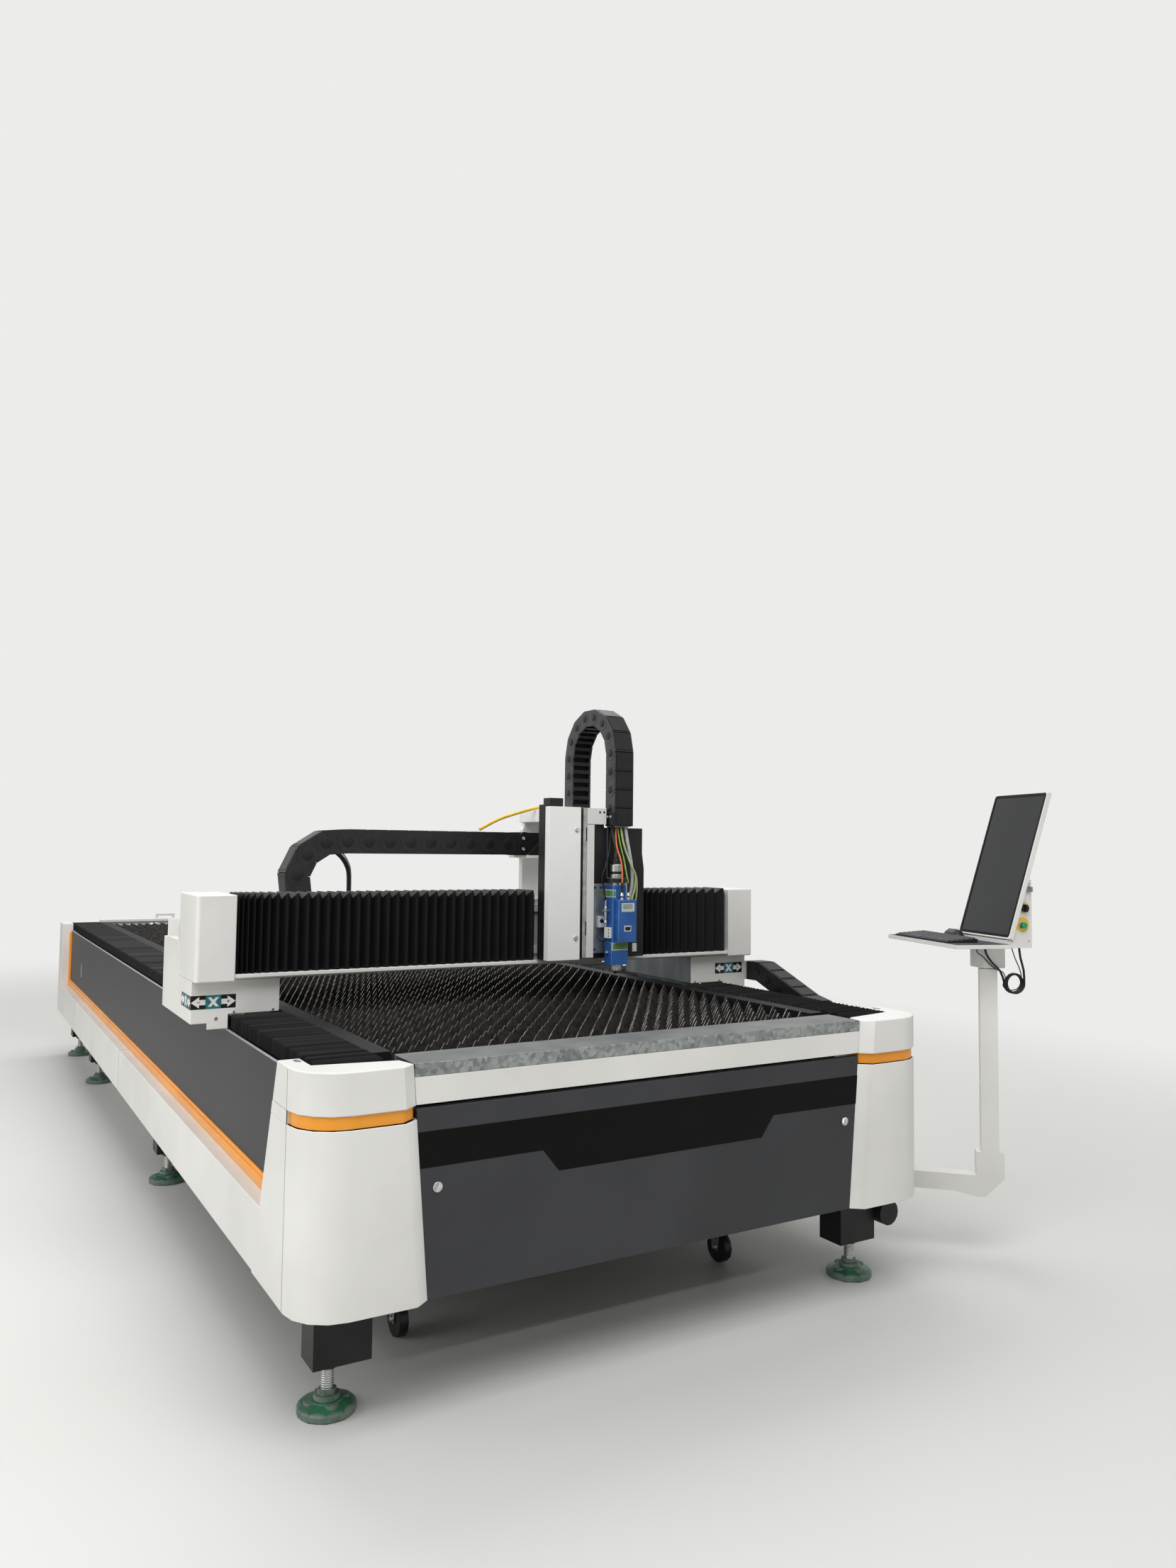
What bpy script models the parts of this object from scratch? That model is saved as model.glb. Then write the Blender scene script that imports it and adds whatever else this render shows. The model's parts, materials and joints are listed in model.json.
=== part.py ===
"""Flatbed fibre laser cutting machine with a travelling gantry and a swing-out console.

Machine axes: X to the right along the short front end, Y back along the bed, Z up.
The floor is z = 0 and the front door stands in the plane y = 0 while the model is built.
At the end everything is moved so that the origin lies under the centre of the whole machine.
"""

import math

import bmesh
import bpy
from mathutils import Matrix, Vector

GAP = 0.0003            # clearance between pieces that touch
SHEET = 0.004           # folded sheet of the covers

# Widths across the bed: half widths from the middle, worked inwards from the skirt
SKIRT_HALF = 1.096
LEDGE_WIDTH = 0.056
PANEL_HALF = SKIRT_HALF - LEDGE_WIDTH
PANEL_THICK = 0.010
BEAM_OUTER = PANEL_HALF - PANEL_THICK
BEAM_WIDTH = 0.240
BEAM_INNER = BEAM_OUTER - BEAM_WIDTH
BELLOWS_WIDTH = 0.184
BELLOWS_OUTER = BEAM_OUTER - 0.001
BELLOWS_INNER = BELLOWS_OUTER - BELLOWS_WIDTH
RACK_WALL_THICK = 0.064
RACK_OUTER = BELLOWS_INNER - 0.003
RACK_WALL = RACK_OUTER - RACK_WALL_THICK
RAIL_WIDTH = 0.035
RAIL_OUTER = BEAM_OUTER - 0.090
RAIL_INNER = RAIL_OUTER - RAIL_WIDTH

# Bed frame
BED_LENGTH = 5.936
BEAM_BOTTOM = 0.420
BEAM_TOP = 0.855
BEAM_FRONT = 0.130
LEG_WIDTH = 0.160
LEG_DEPTH = 0.105
LEG_BOTTOM = 0.135
LEG_ROWS = (0.193, 2.477, 4.805, 5.832)
LEG_X = BEAM_OUTER - 0.105
FOOT_X = LEG_X + 0.020
FOOT_BEHIND = 0.012     # the foot stands this far behind the leg's middle
FOOT_RADIUS = 0.078
FOOT_EDGE = 0.020
FOOT_HEIGHT = 0.045
ROD_RADIUS = 0.016
DRAIN_RADIUS = 0.044
DRAIN_X = BEAM_OUTER + 0.017
DRAIN_Z = 0.225
DRAIN_FRONT = 0.110

# Sheet covers round the bed
SKIRT_BOTTOM = 0.317
LEDGE = 0.506
PANEL_TOP = 0.881
REAR_WALL = 0.036
PANEL_REAR = BED_LENGTH - 0.186
RIM_TOP = 0.930
SLOT_Y = 5.120
SLOT_LOW = 0.620
SLOT_HIGH = 0.715
SLOT_WIDTH = 0.026
SLOT_DEPTH = 0.004
TRIM_WIDTH = 0.028
TRIM_DEPTH = 0.012
SLANT = 0.331           # run of the slanted post edge for each metre of height
POST_TOP_REAR = 0.210   # rear end of the corner post at the rim

# Rear wall: raised rim with a hand slot and a lifting handle left of the middle
REAR_RIM_HALF = BEAM_INNER + 0.050
REAR_RIM_DEPTH = 0.030
REAR_TOP = 0.945
HAND_SLOT_LEFT = -0.500
HAND_SLOT_RIGHT = -0.440
HAND_SLOT_LOW = 0.900
HAND_SLOT_HIGH = 0.913
HANDLE_LEFT = -0.457
HANDLE_RIGHT = -0.341
HANDLE_HIGH = 0.973
HANDLE_BAR = 0.016

# Front end
BAY_TOP = BEAM_INNER + 0.010        # half width of the door bay at the rim
BAY_TAPER = 0.051
BAY_BOTTOM = BAY_TOP - BAY_TAPER    # half width of the door bay at the skirt's bottom
BEVEL_OUT = 0.031       # how far the posts stand in front of the door
BEVEL_IN = 0.039
POST_OUT = SKIRT_HALF + 0.004
POST_ROUND = 0.130
POST_BACK = 0.104
POST_SEAM = 0.110       # seam between the front cover and the side sheet
POST_STEP = 0.040
CAP_BOTTOM = 0.820
COVER_TOP = 0.785
RECESS = 0.020
BAND_BOTTOM = 0.822
BAND_TOP = 0.894
BAND_DEPTH = 0.100
STRIP_DEPTH = 0.150
STRIP_WALL = 0.004
DOOR_TOP = 0.812
DOOR_DEPTH = 0.025
LOCK_X = BAY_BOTTOM - 0.022
LOCK_Z = 0.604
LOCK_RADIUS = 0.013
LOCK_BORE = 0.0095
LOCK_REACH = 0.010      # how far the cam passes behind the post
CAM_HALF = 0.006
LOCK_PROUD = 0.003

# Slat bed
RACK_TOP = 0.925
RACK_END = 0.030
SLAT_BOTTOM = 0.800
SLAT_VALLEY = 0.892
SLAT_TIP = 0.930
SLAT_THICK = 0.006
SLAT_FIRST = 0.250
SLAT_LAST = BED_LENGTH - 0.226
SLAT_COUNT = 36
SLAT_TEETH = 9
CROSS_Y = 2.900
CROSS_WIDTH = 0.120
CROSS_BOTTOM = 0.580

# Scrap cart under the slats
CART_HALF = BEAM_INNER - 0.090
CART_FRONT = 0.340
CART_REAR = 2.400
CART_BOTTOM = 0.190
CART_TOP = 0.480
CART_WALL = 0.006
CASTOR_X = CART_HALF - 0.080
CASTOR_INSET = 0.190
CASTOR_RADIUS = 0.055
CASTOR_WIDTH = 0.030
FORK_HALF = 0.020

# Bellows along the bed, over the rails
RAIL_TOP = 0.884
BELLOWS_FRONT = POST_BACK + 0.002
BELLOWS_REAR = BED_LENGTH - 0.086
PLEAT_DEPTH = 0.008
FRONT_PLEATS = 24
REAR_PLEATS = 26

# Gantry
BOX_FRONT = 1.050
BOX_REAR = 1.555
BOX_INNER = BEAM_OUTER - 0.163
BOX_OUTER = PANEL_HALF + 0.117
BOX_BOTTOM = 0.933
BOX_LIP = 0.907
BOX_TOP = 1.045
BOX_STEP_Y = 1.276
BOX_STEP_TOP = 1.160
TAB_BOTTOM = 0.886
TAB_WIDTH = 0.068
COVER_FRONT = 1.000
COVER_WIDTH = 0.129
COVER_INNER = BOX_OUTER - COVER_WIDTH
COVER_RIM = 1.330
COVER_ROUND = 0.012
SHOE_FRONT = 1.120
SHOE_REAR = 1.480
SHOE_SPREAD = 0.025
BEAM_RAIL_Y = 1.030
BEAM_FACE_Y = 1.045
BEAM_BACK_Y = 1.270
BEAM_CROWN = 1.300
RAIL_HEIGHTS = (1.105, 1.265)
RAIL_HEIGHT = 0.030
GUARD_Y = 1.003
GUARD_LOW = 1.055
GUARD_HIGH = 1.068
XB_FRONT = 1.005
XB_DEPTH = 0.0225
XB_BACK = 1.140
XB_BOTTOM = 1.071
XB_TOP = 1.335
XB_LEFT_PLEATS = 26
XB_RIGHT_PLEATS = 14

# Chains: section, bend radius and pitch of each energy chain
WAIST = 0.820           # a link's waist as a share of its width
LINK_PLATE = 0.720      # the wide part of a link as a share of its pitch
XC_FRONT = 1.2885
XC_BACK = 1.400
XC_BEND_X = -0.600
XC_BEND_Z = 1.365
XC_RADIUS = 0.149
XC_THICK = 0.092
XC_END = 0.200
XC_FIXED = -0.100
XC_PITCH = 0.086
TRAY_WALL = 0.003
TRAY_FRONT = 1.284
TRAY_BACK = 1.490
TRAY_RIM = 1.225
ZC_LEFT = 0.379
ZC_RIGHT = 0.474
ZC_FRONT_Y = 0.933
ZC_BACK_Y = 1.263
ZC_THICK = 0.066
ZC_ARCH_Z = 1.869
ZC_FRONT_END = 1.585
ZC_PITCH = 0.073
YT_LEFT = BOX_OUTER + 0.008
YT_WIDTH = 0.109
YT_RIGHT = YT_LEFT + YT_WIDTH
YT_FRONT = 0.270
YT_REAR = 4.600
YT_FLOOR = 0.650
YT_TOP = 0.850
YT_ARMS = (0.900, 2.500, 4.300)
YT_ARM_WIDTH = 0.040
YT_ARM_SHORT = 0.010
YC_WIDTH = 0.095
YC_LEFT = YT_LEFT + 0.007
YC_RIGHT = YC_LEFT + YC_WIDTH
YC_THICK = 0.080
YC_RADIUS = 0.080
YC_BEND_Y = 0.660
YC_LOWER_Z = 0.695
YC_LEVEL = 0.030        # level run after the bend before the chain climbs
YC_END_Y = 1.060
YC_END_Z = 0.975
YC_FIXED = 2.500
YC_PITCH = 0.075
BRACKET_THICK = 0.012

# Head carriage
PLATE_LEFT = 0.101
PLATE_RIGHT = 0.557
PLATE_FRONT = 0.950
PLATE_BACK = 1.000
PLATE_LOW = 1.071
PLATE_HIGH = 1.664
PLATE_STEP_X = 0.367
PLATE_STEP_Z = 1.580
WING_X = 0.548          # the wing's edge above its cut corner
WING_LOW = 1.420
WING_HIGH = 1.480
DRIVE_LEFT = 0.120      # drive block on top of the plate
DRIVE_RIGHT = 0.180
DRIVE_HIGH = 1.690
BLOCK_LEFT = 0.150
BLOCK_RIGHT = 0.510
BLOCK_TALL = 0.050
ZCOVER_LEFT = 0.102
ZCOVER_RIGHT = 0.240
ZCOVER_FRONT = 0.915
ZCOVER_LOW = 1.072
ZCOVER_HIGH = 1.656
ZLOCK_X = 0.222
ZLOCK_HEIGHTS = (1.569, 1.155)
ZLOCK_RADIUS = 0.009
ZLOCK_BORE = 0.006
ZLOCK_REACH = 0.030
ARM_LEFT = 0.250
ARM_RIGHT = 0.500
ARM_LOW = 1.605
ARM_HIGH = 1.655
ARM_REAR = 1.450
ARM_PLATE = 0.030
ARM_DROP = XC_BEND_Z - 0.115
ARM_CHAMFER = 0.040
SHELF_THICK = 0.012
SHELF_TENON = 0.020

# Z slide and cutting head
SLIDE_LEFT = 0.281
SLIDE_RIGHT = 0.474
SLIDE_FRONT = 0.9425
SLIDE_LOW = 1.090
SLIDE_SHELF = 1.360
HEAD_X = 0.394
HEAD_Y = 0.900
LOWER_LEFT = 0.358
LOWER_RIGHT = 0.434
LOWER_FRONT = 0.874
LOWER_REAR = 0.926
LOWER_BOTTOM = 1.049
MAIN_BOTTOM = 1.137
MAIN_TOP = 1.300
MAIN_LEFT = 0.372
MAIN_RIGHT = 0.454
MAIN_FRONT = 0.845
MAIN_REAR = 0.905
BODY_LEFT = 0.363
BODY_RIGHT = 0.422
BODY_FRONT = 0.873
BODY_TOP = 1.360
FLANGE_RADIUS = 0.038
FLANGE_TOP = 1.378
COLLIMATOR_RADIUS = 0.025
COLLIMATOR_NECK = 0.022
COLLIMATOR_LIP = 0.017
NECK_LOW = 1.386
NECK_HIGH = 1.410
NECK_SLOPE = 0.002
COLLIMATOR_TOP = 1.440
LIP_SLOPE = 0.008
NOZZLE_RADIUS = 0.024
NOZZLE_TIP = 0.003
NOZZLE_BOTTOM = 1.012
NOZZLE_CONE = 0.012
FIBRE_RADIUS = 0.007
FIBRE_ROUTE = (
    (0.010, 1.340, 1.570),
    (0.090, 1.330, 1.612),
    (0.170, 1.320, 1.640),
    (0.255, 1.300, 1.664),
    (0.330, 1.282, 1.666),
)
HOSE_RADIUS = 0.012
HOSE_ROUTE = (
    (0.425, 0.926, 1.5835),
    (0.425, 0.926, 1.550),
    (0.438, 0.914, 1.490),
    (0.456, 0.902, 1.430),
    (0.461, 0.894, 1.375),
    (0.441, 0.888, 1.330),
    (0.441, 0.888, 1.3015),
)

# Console
PIVOT_X = BEAM_OUTER - 0.050
PIVOT_Y = 0.670
POST_X = PIVOT_X + 0.575
POST_Y = PIVOT_Y - 0.580
ARM_SECTION = 0.063
ARM_BOTTOM = 0.230
KNUCKLE_RADIUS = 0.045
PIN_RADIUS = 0.014
PIN_HEAD = 0.024
HANGER_HALF = 0.045
ELBOW_HALF = 0.050
ELBOW_DROP = 0.015
ELBOW_RAMP = 0.080
ELBOW_CUT = 0.070
ELBOW_TOP = 0.380
POST_HIGH = 1.060
SLEEVE_HALF = 0.045
SLEEVE_LOW = 1.065
SLEEVE_HIGH = 1.150
SPIGOT_RADIUS = 0.020
SPIGOT_HIGH = 1.130
CONSOLE_YAW = -108.0
CASE_HALF = 0.155
CASE_LOW = 1.165
CASE_HIGH = 1.400
CASE_REAR = 0.084
SCREEN_WIDTH = 0.335
SCREEN_HEIGHT = 0.572
SCREEN_THICK = 0.018
SCREEN_FRAME = 0.011
SCREEN_RECESS = 0.003
SCREEN_TILT = 17.4
SCREEN_FOOT = (-0.020, 1.184)
TABLE_LEFT = -0.320
TABLE_RIGHT = 0.180
TABLE_FRONT = -0.240
KEYS_LEFT = -0.290
KEYS_RIGHT = 0.090
KEYS_FRONT = -0.225
KEYS_BACK = -0.098
KEYS_TALL = 0.020
MOUSE_X = -0.130
MOUSE_Y = -0.062
MOUSE_LENGTH = 0.104
MOUSE_WIDTH = 0.060
MOUSE_TALL = 0.034
LEAD_RADIUS = 0.0042
COIL_RADIUS = 0.035
COIL_MIDDLE = (0.068, 1.010)
COIL_LEFT = 0.0535
COIL_PITCH = 0.0095
LEAD_DOWN = (
    (0.062, -0.050, 1.149),
    (0.062, -0.050, 1.125),
    (0.060, -0.013, 1.090),
    (0.056, 0.024, 1.060),
)
LEAD_UP = (
    (0.079, 0.100, 1.060),
    (0.078, 0.078, 1.115),
    (0.078, 0.078, 1.149),
)
BUTTON_STEM = 0.0085
STEM_BACK = 0.016       # how far each control's stem goes into the case
START_PLACE = (0.044, 1.233)
START_NECK = 0.012
START_RADIUS = 0.011
START_PROUD = 0.017
SELECTOR_PLACE = (0.052, 1.296)
SELECTOR_RADIUS = 0.014
SELECTOR_PROUD = 0.012
GRIP_HALF = 0.013
GRIP_THICK = 0.008
GRIP_PROUD = 0.020
KEY_PLACE = (0.068, 1.366)
KEY_RADIUS = 0.0105
KEY_PROUD = 0.009
KEY_HALF = 0.009
KEY_THICK = 0.003
KEY_REACH = 0.030


def remove_old_objects():
    for old in list(bpy.data.objects):
        bpy.data.objects.remove(old, do_unlink=True)


def material(name, colour, roughness, metallic=0.0):
    """Principled material from a linear colour."""
    found = bpy.data.materials.get(name)
    if found:
        return found
    made = bpy.data.materials.new(name)
    made.use_nodes = True
    shader = made.node_tree.nodes["Principled BSDF"]
    shader.inputs["Base Color"].default_value = (*colour, 1.0)
    shader.inputs["Roughness"].default_value = roughness
    shader.inputs["Metallic"].default_value = metallic
    return made


def white():
    return material("white_enamel", (0.76, 0.75, 0.72), 0.35)


def charcoal():
    return material("charcoal_enamel", (0.06, 0.06, 0.065), 0.40)


def grey():
    return material("side_grey", (0.10, 0.105, 0.115), 0.40)


def orange():
    return material("orange_enamel", (0.80, 0.32, 0.03), 0.35)


def black():
    return material("black_steel", (0.02, 0.02, 0.02), 0.50)


def rubber():
    return material("bellows_black", (0.012, 0.012, 0.013), 0.70)


def plastic():
    return material("chain_plastic", (0.015, 0.015, 0.016), 0.45)


def steel():
    return material("bright_steel", (0.55, 0.55, 0.54), 0.30, 0.9)


def galvanised():
    return material("galvanised_steel", (0.40, 0.41, 0.41), 0.40, 0.8)


def slat_steel():
    return material("cut_slat_steel", (0.10, 0.085, 0.07), 0.60, 0.6)


def blue():
    return material("head_blue", (0.02, 0.12, 0.45), 0.35)


# Meshes are held as lists of vertices and faces until they are placed.


def prism(outline, axis, start, end):
    """Extrude a closed outline along X, Y or Z.

    The outline's pairs are (y, z) along X, (x, z) along Y and (x, y) along Z.
    """
    def point(pair, along):
        if axis == "X":
            return Vector((along, pair[0], pair[1]))
        if axis == "Y":
            return Vector((pair[0], along, pair[1]))
        return Vector((pair[0], pair[1], along))

    first = [point(pair, start) for pair in outline]
    last = [point(pair, end) for pair in outline]
    return loft([first, last])


def loft(rings):
    """Skin a row of point rings into one closed body with flat ends."""
    body = bmesh.new()
    rows = [[body.verts.new(point) for point in ring] for ring in rings]
    count = len(rows[0])
    for low, high in zip(rows, rows[1:]):
        for index in range(count):
            after = (index + 1) % count
            body.faces.new((low[index], low[after], high[after], high[index]))
    body.faces.new(rows[0][::-1])
    body.faces.new(rows[-1])
    bmesh.ops.recalc_face_normals(body, faces=body.faces)
    return body


def block(x_low, x_high, y_low, y_high, z_low, z_high):
    outline = [(x_low, y_low), (x_high, y_low), (x_high, y_high), (x_low, y_high)]
    return prism(outline, "Z", z_low, z_high)


def circle(radius, sides, centre=(0.0, 0.0), turn=0.0):
    return [
        (
            centre[0] + radius * math.cos(turn + 2 * math.pi * step / sides),
            centre[1] + radius * math.sin(turn + 2 * math.pi * step / sides),
        )
        for step in range(sides)
    ]


def bore_radius(shaft, sides):
    """Radius of a faceted bore in which a shaft of this radius turns freely."""
    return shaft / math.cos(math.pi / sides) + GAP


def turned(profile, sides, centre=(0.0, 0.0)):
    """Revolve a profile of (radius, z) pairs about a vertical axis."""
    rings = []
    for radius, height in profile:
        rings.append([Vector((x, y, height)) for x, y in circle(radius, sides, centre)])
    return loft(rings)


def corner_arc(centre, radius, start, end, steps):
    """Points of an arc from one angle to another, in degrees."""
    points = []
    for step in range(steps + 1):
        angle = math.radians(start + (end - start) * step / steps)
        points.append((centre[0] + radius * math.cos(angle), centre[1] + radius * math.sin(angle)))
    return points


def moved(body, offset):
    bmesh.ops.translate(body, verts=body.verts, vec=Vector(offset))
    return body


def transformed(body, matrix):
    bmesh.ops.transform(body, matrix=matrix, verts=body.verts)
    return body


def mirrored(body):
    """The same body on the other side of the plane x = 0."""
    bmesh.ops.scale(body, vec=Vector((-1.0, 1.0, 1.0)), verts=body.verts)
    bmesh.ops.reverse_faces(body, faces=body.faces)
    return body


def scratch_object(body):
    mesh = bpy.data.meshes.new("scratch")
    body.to_mesh(mesh)
    body.free()
    made = bpy.data.objects.new("scratch", mesh)
    bpy.context.collection.objects.link(made)
    return made


def combined(body, others, operation):
    """Boolean of one body with others, one after another."""
    base = scratch_object(body)
    tools = []
    for other in others:
        tool = scratch_object(other)
        modifier = base.modifiers.new("combine", "BOOLEAN")
        modifier.operation = operation
        modifier.solver = "EXACT"
        modifier.object = tool
        tools.append(tool)
    bpy.context.view_layer.update()
    evaluated = base.evaluated_get(bpy.context.evaluated_depsgraph_get())
    result = bmesh.new()
    result.from_mesh(evaluated.to_mesh())
    evaluated.to_mesh_clear()
    for used in [base] + tools:
        bpy.data.objects.remove(used, do_unlink=True)
    return result


def union(body, *others):
    return combined(body, others, "UNION")


def cut(body, *others):
    return combined(body, others, "DIFFERENCE")


class Machine:
    """Keeps one empty for each moving body and places finished pieces under it."""

    def __init__(self):
        self.root = bpy.data.objects.new("machine", None)
        bpy.context.collection.objects.link(self.root)
        self.bodies = {"bed": self.root}
        self.pivots = {"bed": Vector((0.0, 0.0, 0.0))}

    def body(self, name, parent, pivot):
        empty = bpy.data.objects.new(name, None)
        bpy.context.collection.objects.link(empty)
        empty.parent = self.bodies[parent]
        empty.location = Vector(pivot) - self.pivots[parent]
        self.bodies[name] = empty
        self.pivots[name] = Vector(pivot)

    def place(self, name, shape, finish, body="bed"):
        moved(shape, -self.pivots[body])
        bmesh.ops.dissolve_limit(
            shape, angle_limit=math.radians(0.05), verts=shape.verts, edges=shape.edges
        )
        mesh = bpy.data.meshes.new(name)
        shape.to_mesh(mesh)
        shape.free()
        mesh.materials.append(finish)
        mesh.shade_smooth()
        mesh.set_sharp_from_angle(angle=math.radians(30))
        made = bpy.data.objects.new(name, mesh)
        bpy.context.collection.objects.link(made)
        made.parent = self.bodies[body]
        return made

    def centre_on_floor(self):
        """Bring the origin under the middle of the whole machine."""
        bpy.context.view_layer.update()
        corners = []
        for piece in bpy.context.collection.objects:
            if piece.type == "MESH":
                corners += [piece.matrix_world @ vertex.co for vertex in piece.data.vertices]
        middle_x = (min(c.x for c in corners) + max(c.x for c in corners)) / 2
        middle_y = (min(c.y for c in corners) + max(c.y for c in corners)) / 2
        self.root.location = (-middle_x, -middle_y, 0.0)
        bpy.context.view_layer.update()


def post_rear(height):
    """Rear end of the corner post, which slants back towards the skirt."""
    return POST_TOP_REAR + (RIM_TOP - height) * SLANT


def bay_half(height):
    """Half width of the door bay, which narrows towards the floor."""
    share = (height - SKIRT_BOTTOM) / (RIM_TOP - SKIRT_BOTTOM)
    return BAY_BOTTOM + (BAY_TOP - BAY_BOTTOM) * min(max(share, 0.0), 1.0)


def side_beam():
    """Right side beam with its four legs, levelling feet, drain stub and console hanger."""
    beam_end = BED_LENGTH - REAR_WALL - GAP
    beam = block(BEAM_INNER, BEAM_OUTER, BEAM_FRONT, beam_end, BEAM_BOTTOM, BEAM_TOP)
    parts = []
    for row in LEG_ROWS:
        low = row - LEG_DEPTH / 2
        high = row + LEG_DEPTH / 2
        left = LEG_X - LEG_WIDTH / 2
        right = LEG_X + LEG_WIDTH / 2
        parts.append(block(left, right, low, high, LEG_BOTTOM, BEAM_BOTTOM + SHEET))
        foot = [
            (FOOT_RADIUS, 0.0),
            (FOOT_RADIUS, FOOT_EDGE),
            (ROD_RADIUS, FOOT_HEIGHT),
            (ROD_RADIUS, LEG_BOTTOM + SHEET),
        ]
        parts.append(turned(foot, 10, (FOOT_X, row + FOOT_BEHIND)))
    rail = block(RAIL_INNER, RAIL_OUTER, BEAM_FRONT, BELLOWS_REAR, BEAM_TOP - SHEET, RAIL_TOP)
    parts.append(rail)
    return union(beam, *parts)


def console_hanger():
    """Block under the beam with the pin that the console arm turns on."""
    pin_low = ARM_BOTTOM - 2 * SHEET
    hanger = block(
        PIVOT_X - HANGER_HALF,
        PIVOT_X + HANGER_HALF,
        PIVOT_Y - HANGER_HALF,
        PIVOT_Y + HANGER_HALF,
        ARM_BOTTOM + ARM_SECTION + GAP,
        BEAM_BOTTOM + SHEET,
    )
    pin = [
        (PIN_HEAD, pin_low),
        (PIN_HEAD, ARM_BOTTOM - GAP),
        (PIN_RADIUS, ARM_BOTTOM - GAP),
        (PIN_RADIUS, ARM_BOTTOM + ARM_SECTION + SHEET),
    ]
    return hanger, turned(pin, 12, (PIVOT_X, PIVOT_Y))


def drain_stub():
    stub = prism(
        circle(DRAIN_RADIUS, 14, (DRAIN_X, DRAIN_Z)),
        "Y",
        DRAIN_FRONT,
        LEG_ROWS[0] + LEG_DEPTH / 2,
    )
    return stub


def build_frame(machine):
    machine.place("frame_left", mirrored(side_beam()), black())
    hanger, pin = console_hanger()
    machine.place("frame_right", union(side_beam(), hanger, pin, drain_stub()), black())
    cross = block(
        -BEAM_INNER + GAP,
        BEAM_INNER - GAP,
        CROSS_Y - CROSS_WIDTH / 2,
        CROSS_Y + CROSS_WIDTH / 2,
        CROSS_BOTTOM,
        SLAT_BOTTOM - GAP,
    )
    machine.place("cross_beam", cross, black())


def slat_outline():
    """Saw-toothed slat seen from the front, with its ends let into the side walls."""
    half = RACK_WALL + SHEET
    step = 2 * half / SLAT_TEETH
    points = [(-half, SLAT_BOTTOM), (half, SLAT_BOTTOM)]
    for tooth in range(SLAT_TEETH):
        right = half - tooth * step
        points.append((right, SLAT_VALLEY))
        points.append((right - step / 2, SLAT_TIP))
    points.append((-half, SLAT_VALLEY))
    return points


def build_slats(machine):
    """Two lengths of slat rack, each with its side walls joined by toothed slats."""
    half_count = SLAT_COUNT // 2
    pitch = (SLAT_LAST - SLAT_FIRST) / (SLAT_COUNT - 1)
    joint = SLAT_FIRST + (half_count - 0.5) * pitch
    rack = slat_rack(SLAT_FIRST - RACK_END, joint - GAP, range(half_count), pitch)
    machine.place("slat_rack_front", rack, slat_steel())
    rack = slat_rack(joint, SLAT_LAST + RACK_END, range(half_count, SLAT_COUNT), pitch)
    machine.place("slat_rack_rear", rack, slat_steel())


def slat_rack(front, rear, indices, pitch):
    wall = block(RACK_WALL, RACK_OUTER, front, rear, BEAM_TOP + GAP, RACK_TOP)
    other = block(-RACK_OUTER, -RACK_WALL, front, rear, BEAM_TOP + GAP, RACK_TOP)
    slats = bmesh.new()
    holder = bpy.data.meshes.new("slats")
    for index in indices:
        middle = SLAT_FIRST + index * pitch
        slat = prism(slat_outline(), "Y", middle - SLAT_THICK / 2, middle + SLAT_THICK / 2)
        slat.to_mesh(holder)
        slat.free()
        slats.from_mesh(holder)
    bpy.data.meshes.remove(holder)
    return union(slats, wall, other)


def post_outline(rear, inset, height, back):
    """Plan of the right corner post: door side, bevel, front face, round corner, side."""
    inner = bay_half(height) + inset
    front = -BEVEL_OUT + inset
    outer = POST_OUT - inset
    radius = POST_ROUND - inset
    arc = corner_arc((outer - radius, front + radius), radius, -90, 0, 4)
    return [(inner, back), (inner, inset), (inner + BEVEL_IN, front)] + arc + [(outer, rear)]


def cover_ring(height):
    """Sheet of the lower post cover as one ring: outside face, then inside face."""
    outside = post_outline(post_rear(height), 0.0, height, DOOR_DEPTH)
    inside = post_outline(post_rear(height), SHEET, height, DOOR_DEPTH)
    return [Vector((x, y, height)) for x, y in outside + inside[::-1]]


def cap_ring(height):
    """Closed plan of the post's cap, whose back steps round the bed."""
    rear = post_rear(height)
    outline = post_outline(rear, 0.0, height, 0.0)[1:]
    inner = outline[0][0] + 4 * SHEET
    shoulder = PANEL_HALF + GAP
    outline += [(shoulder, rear), (shoulder, POST_BACK), (inner, POST_BACK - POST_STEP)]
    return [Vector((x, y, height)) for x, y in outline]


def band_ring(height):
    """Plan of the band: set back round the front, flush behind the seam."""
    rear = post_rear(height)
    inner_rear = BEAM_FRONT - GAP
    outline = post_outline(POST_SEAM, RECESS, height, RECESS)[1:]
    outline += [
        (POST_OUT, POST_SEAM),
        (POST_OUT, rear),
        (PANEL_HALF + GAP, rear),
        (PANEL_HALF + GAP, inner_rear),
        (outline[0][0], inner_rear),
    ]
    return [Vector((x, y, height)) for x, y in outline]


def build_corner(machine, side):
    """Lower cover, orange band and cap of one front corner."""
    def flip(body):
        return mirrored(body) if side == "left" else body

    cover = loft([cover_ring(SKIRT_BOTTOM), cover_ring(COVER_TOP)])
    machine.place("corner_cover_" + side, flip(cover), white())

    rings = [band_ring(COVER_TOP + GAP), band_ring(CAP_BOTTOM - GAP)]
    machine.place("corner_band_" + side, flip(loft(rings)), orange())

    rings = []
    for height in (CAP_BOTTOM, RIM_TOP):
        rings.append(cap_ring(height))
    machine.place("corner_cap_" + side, flip(loft(rings)), white())


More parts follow.
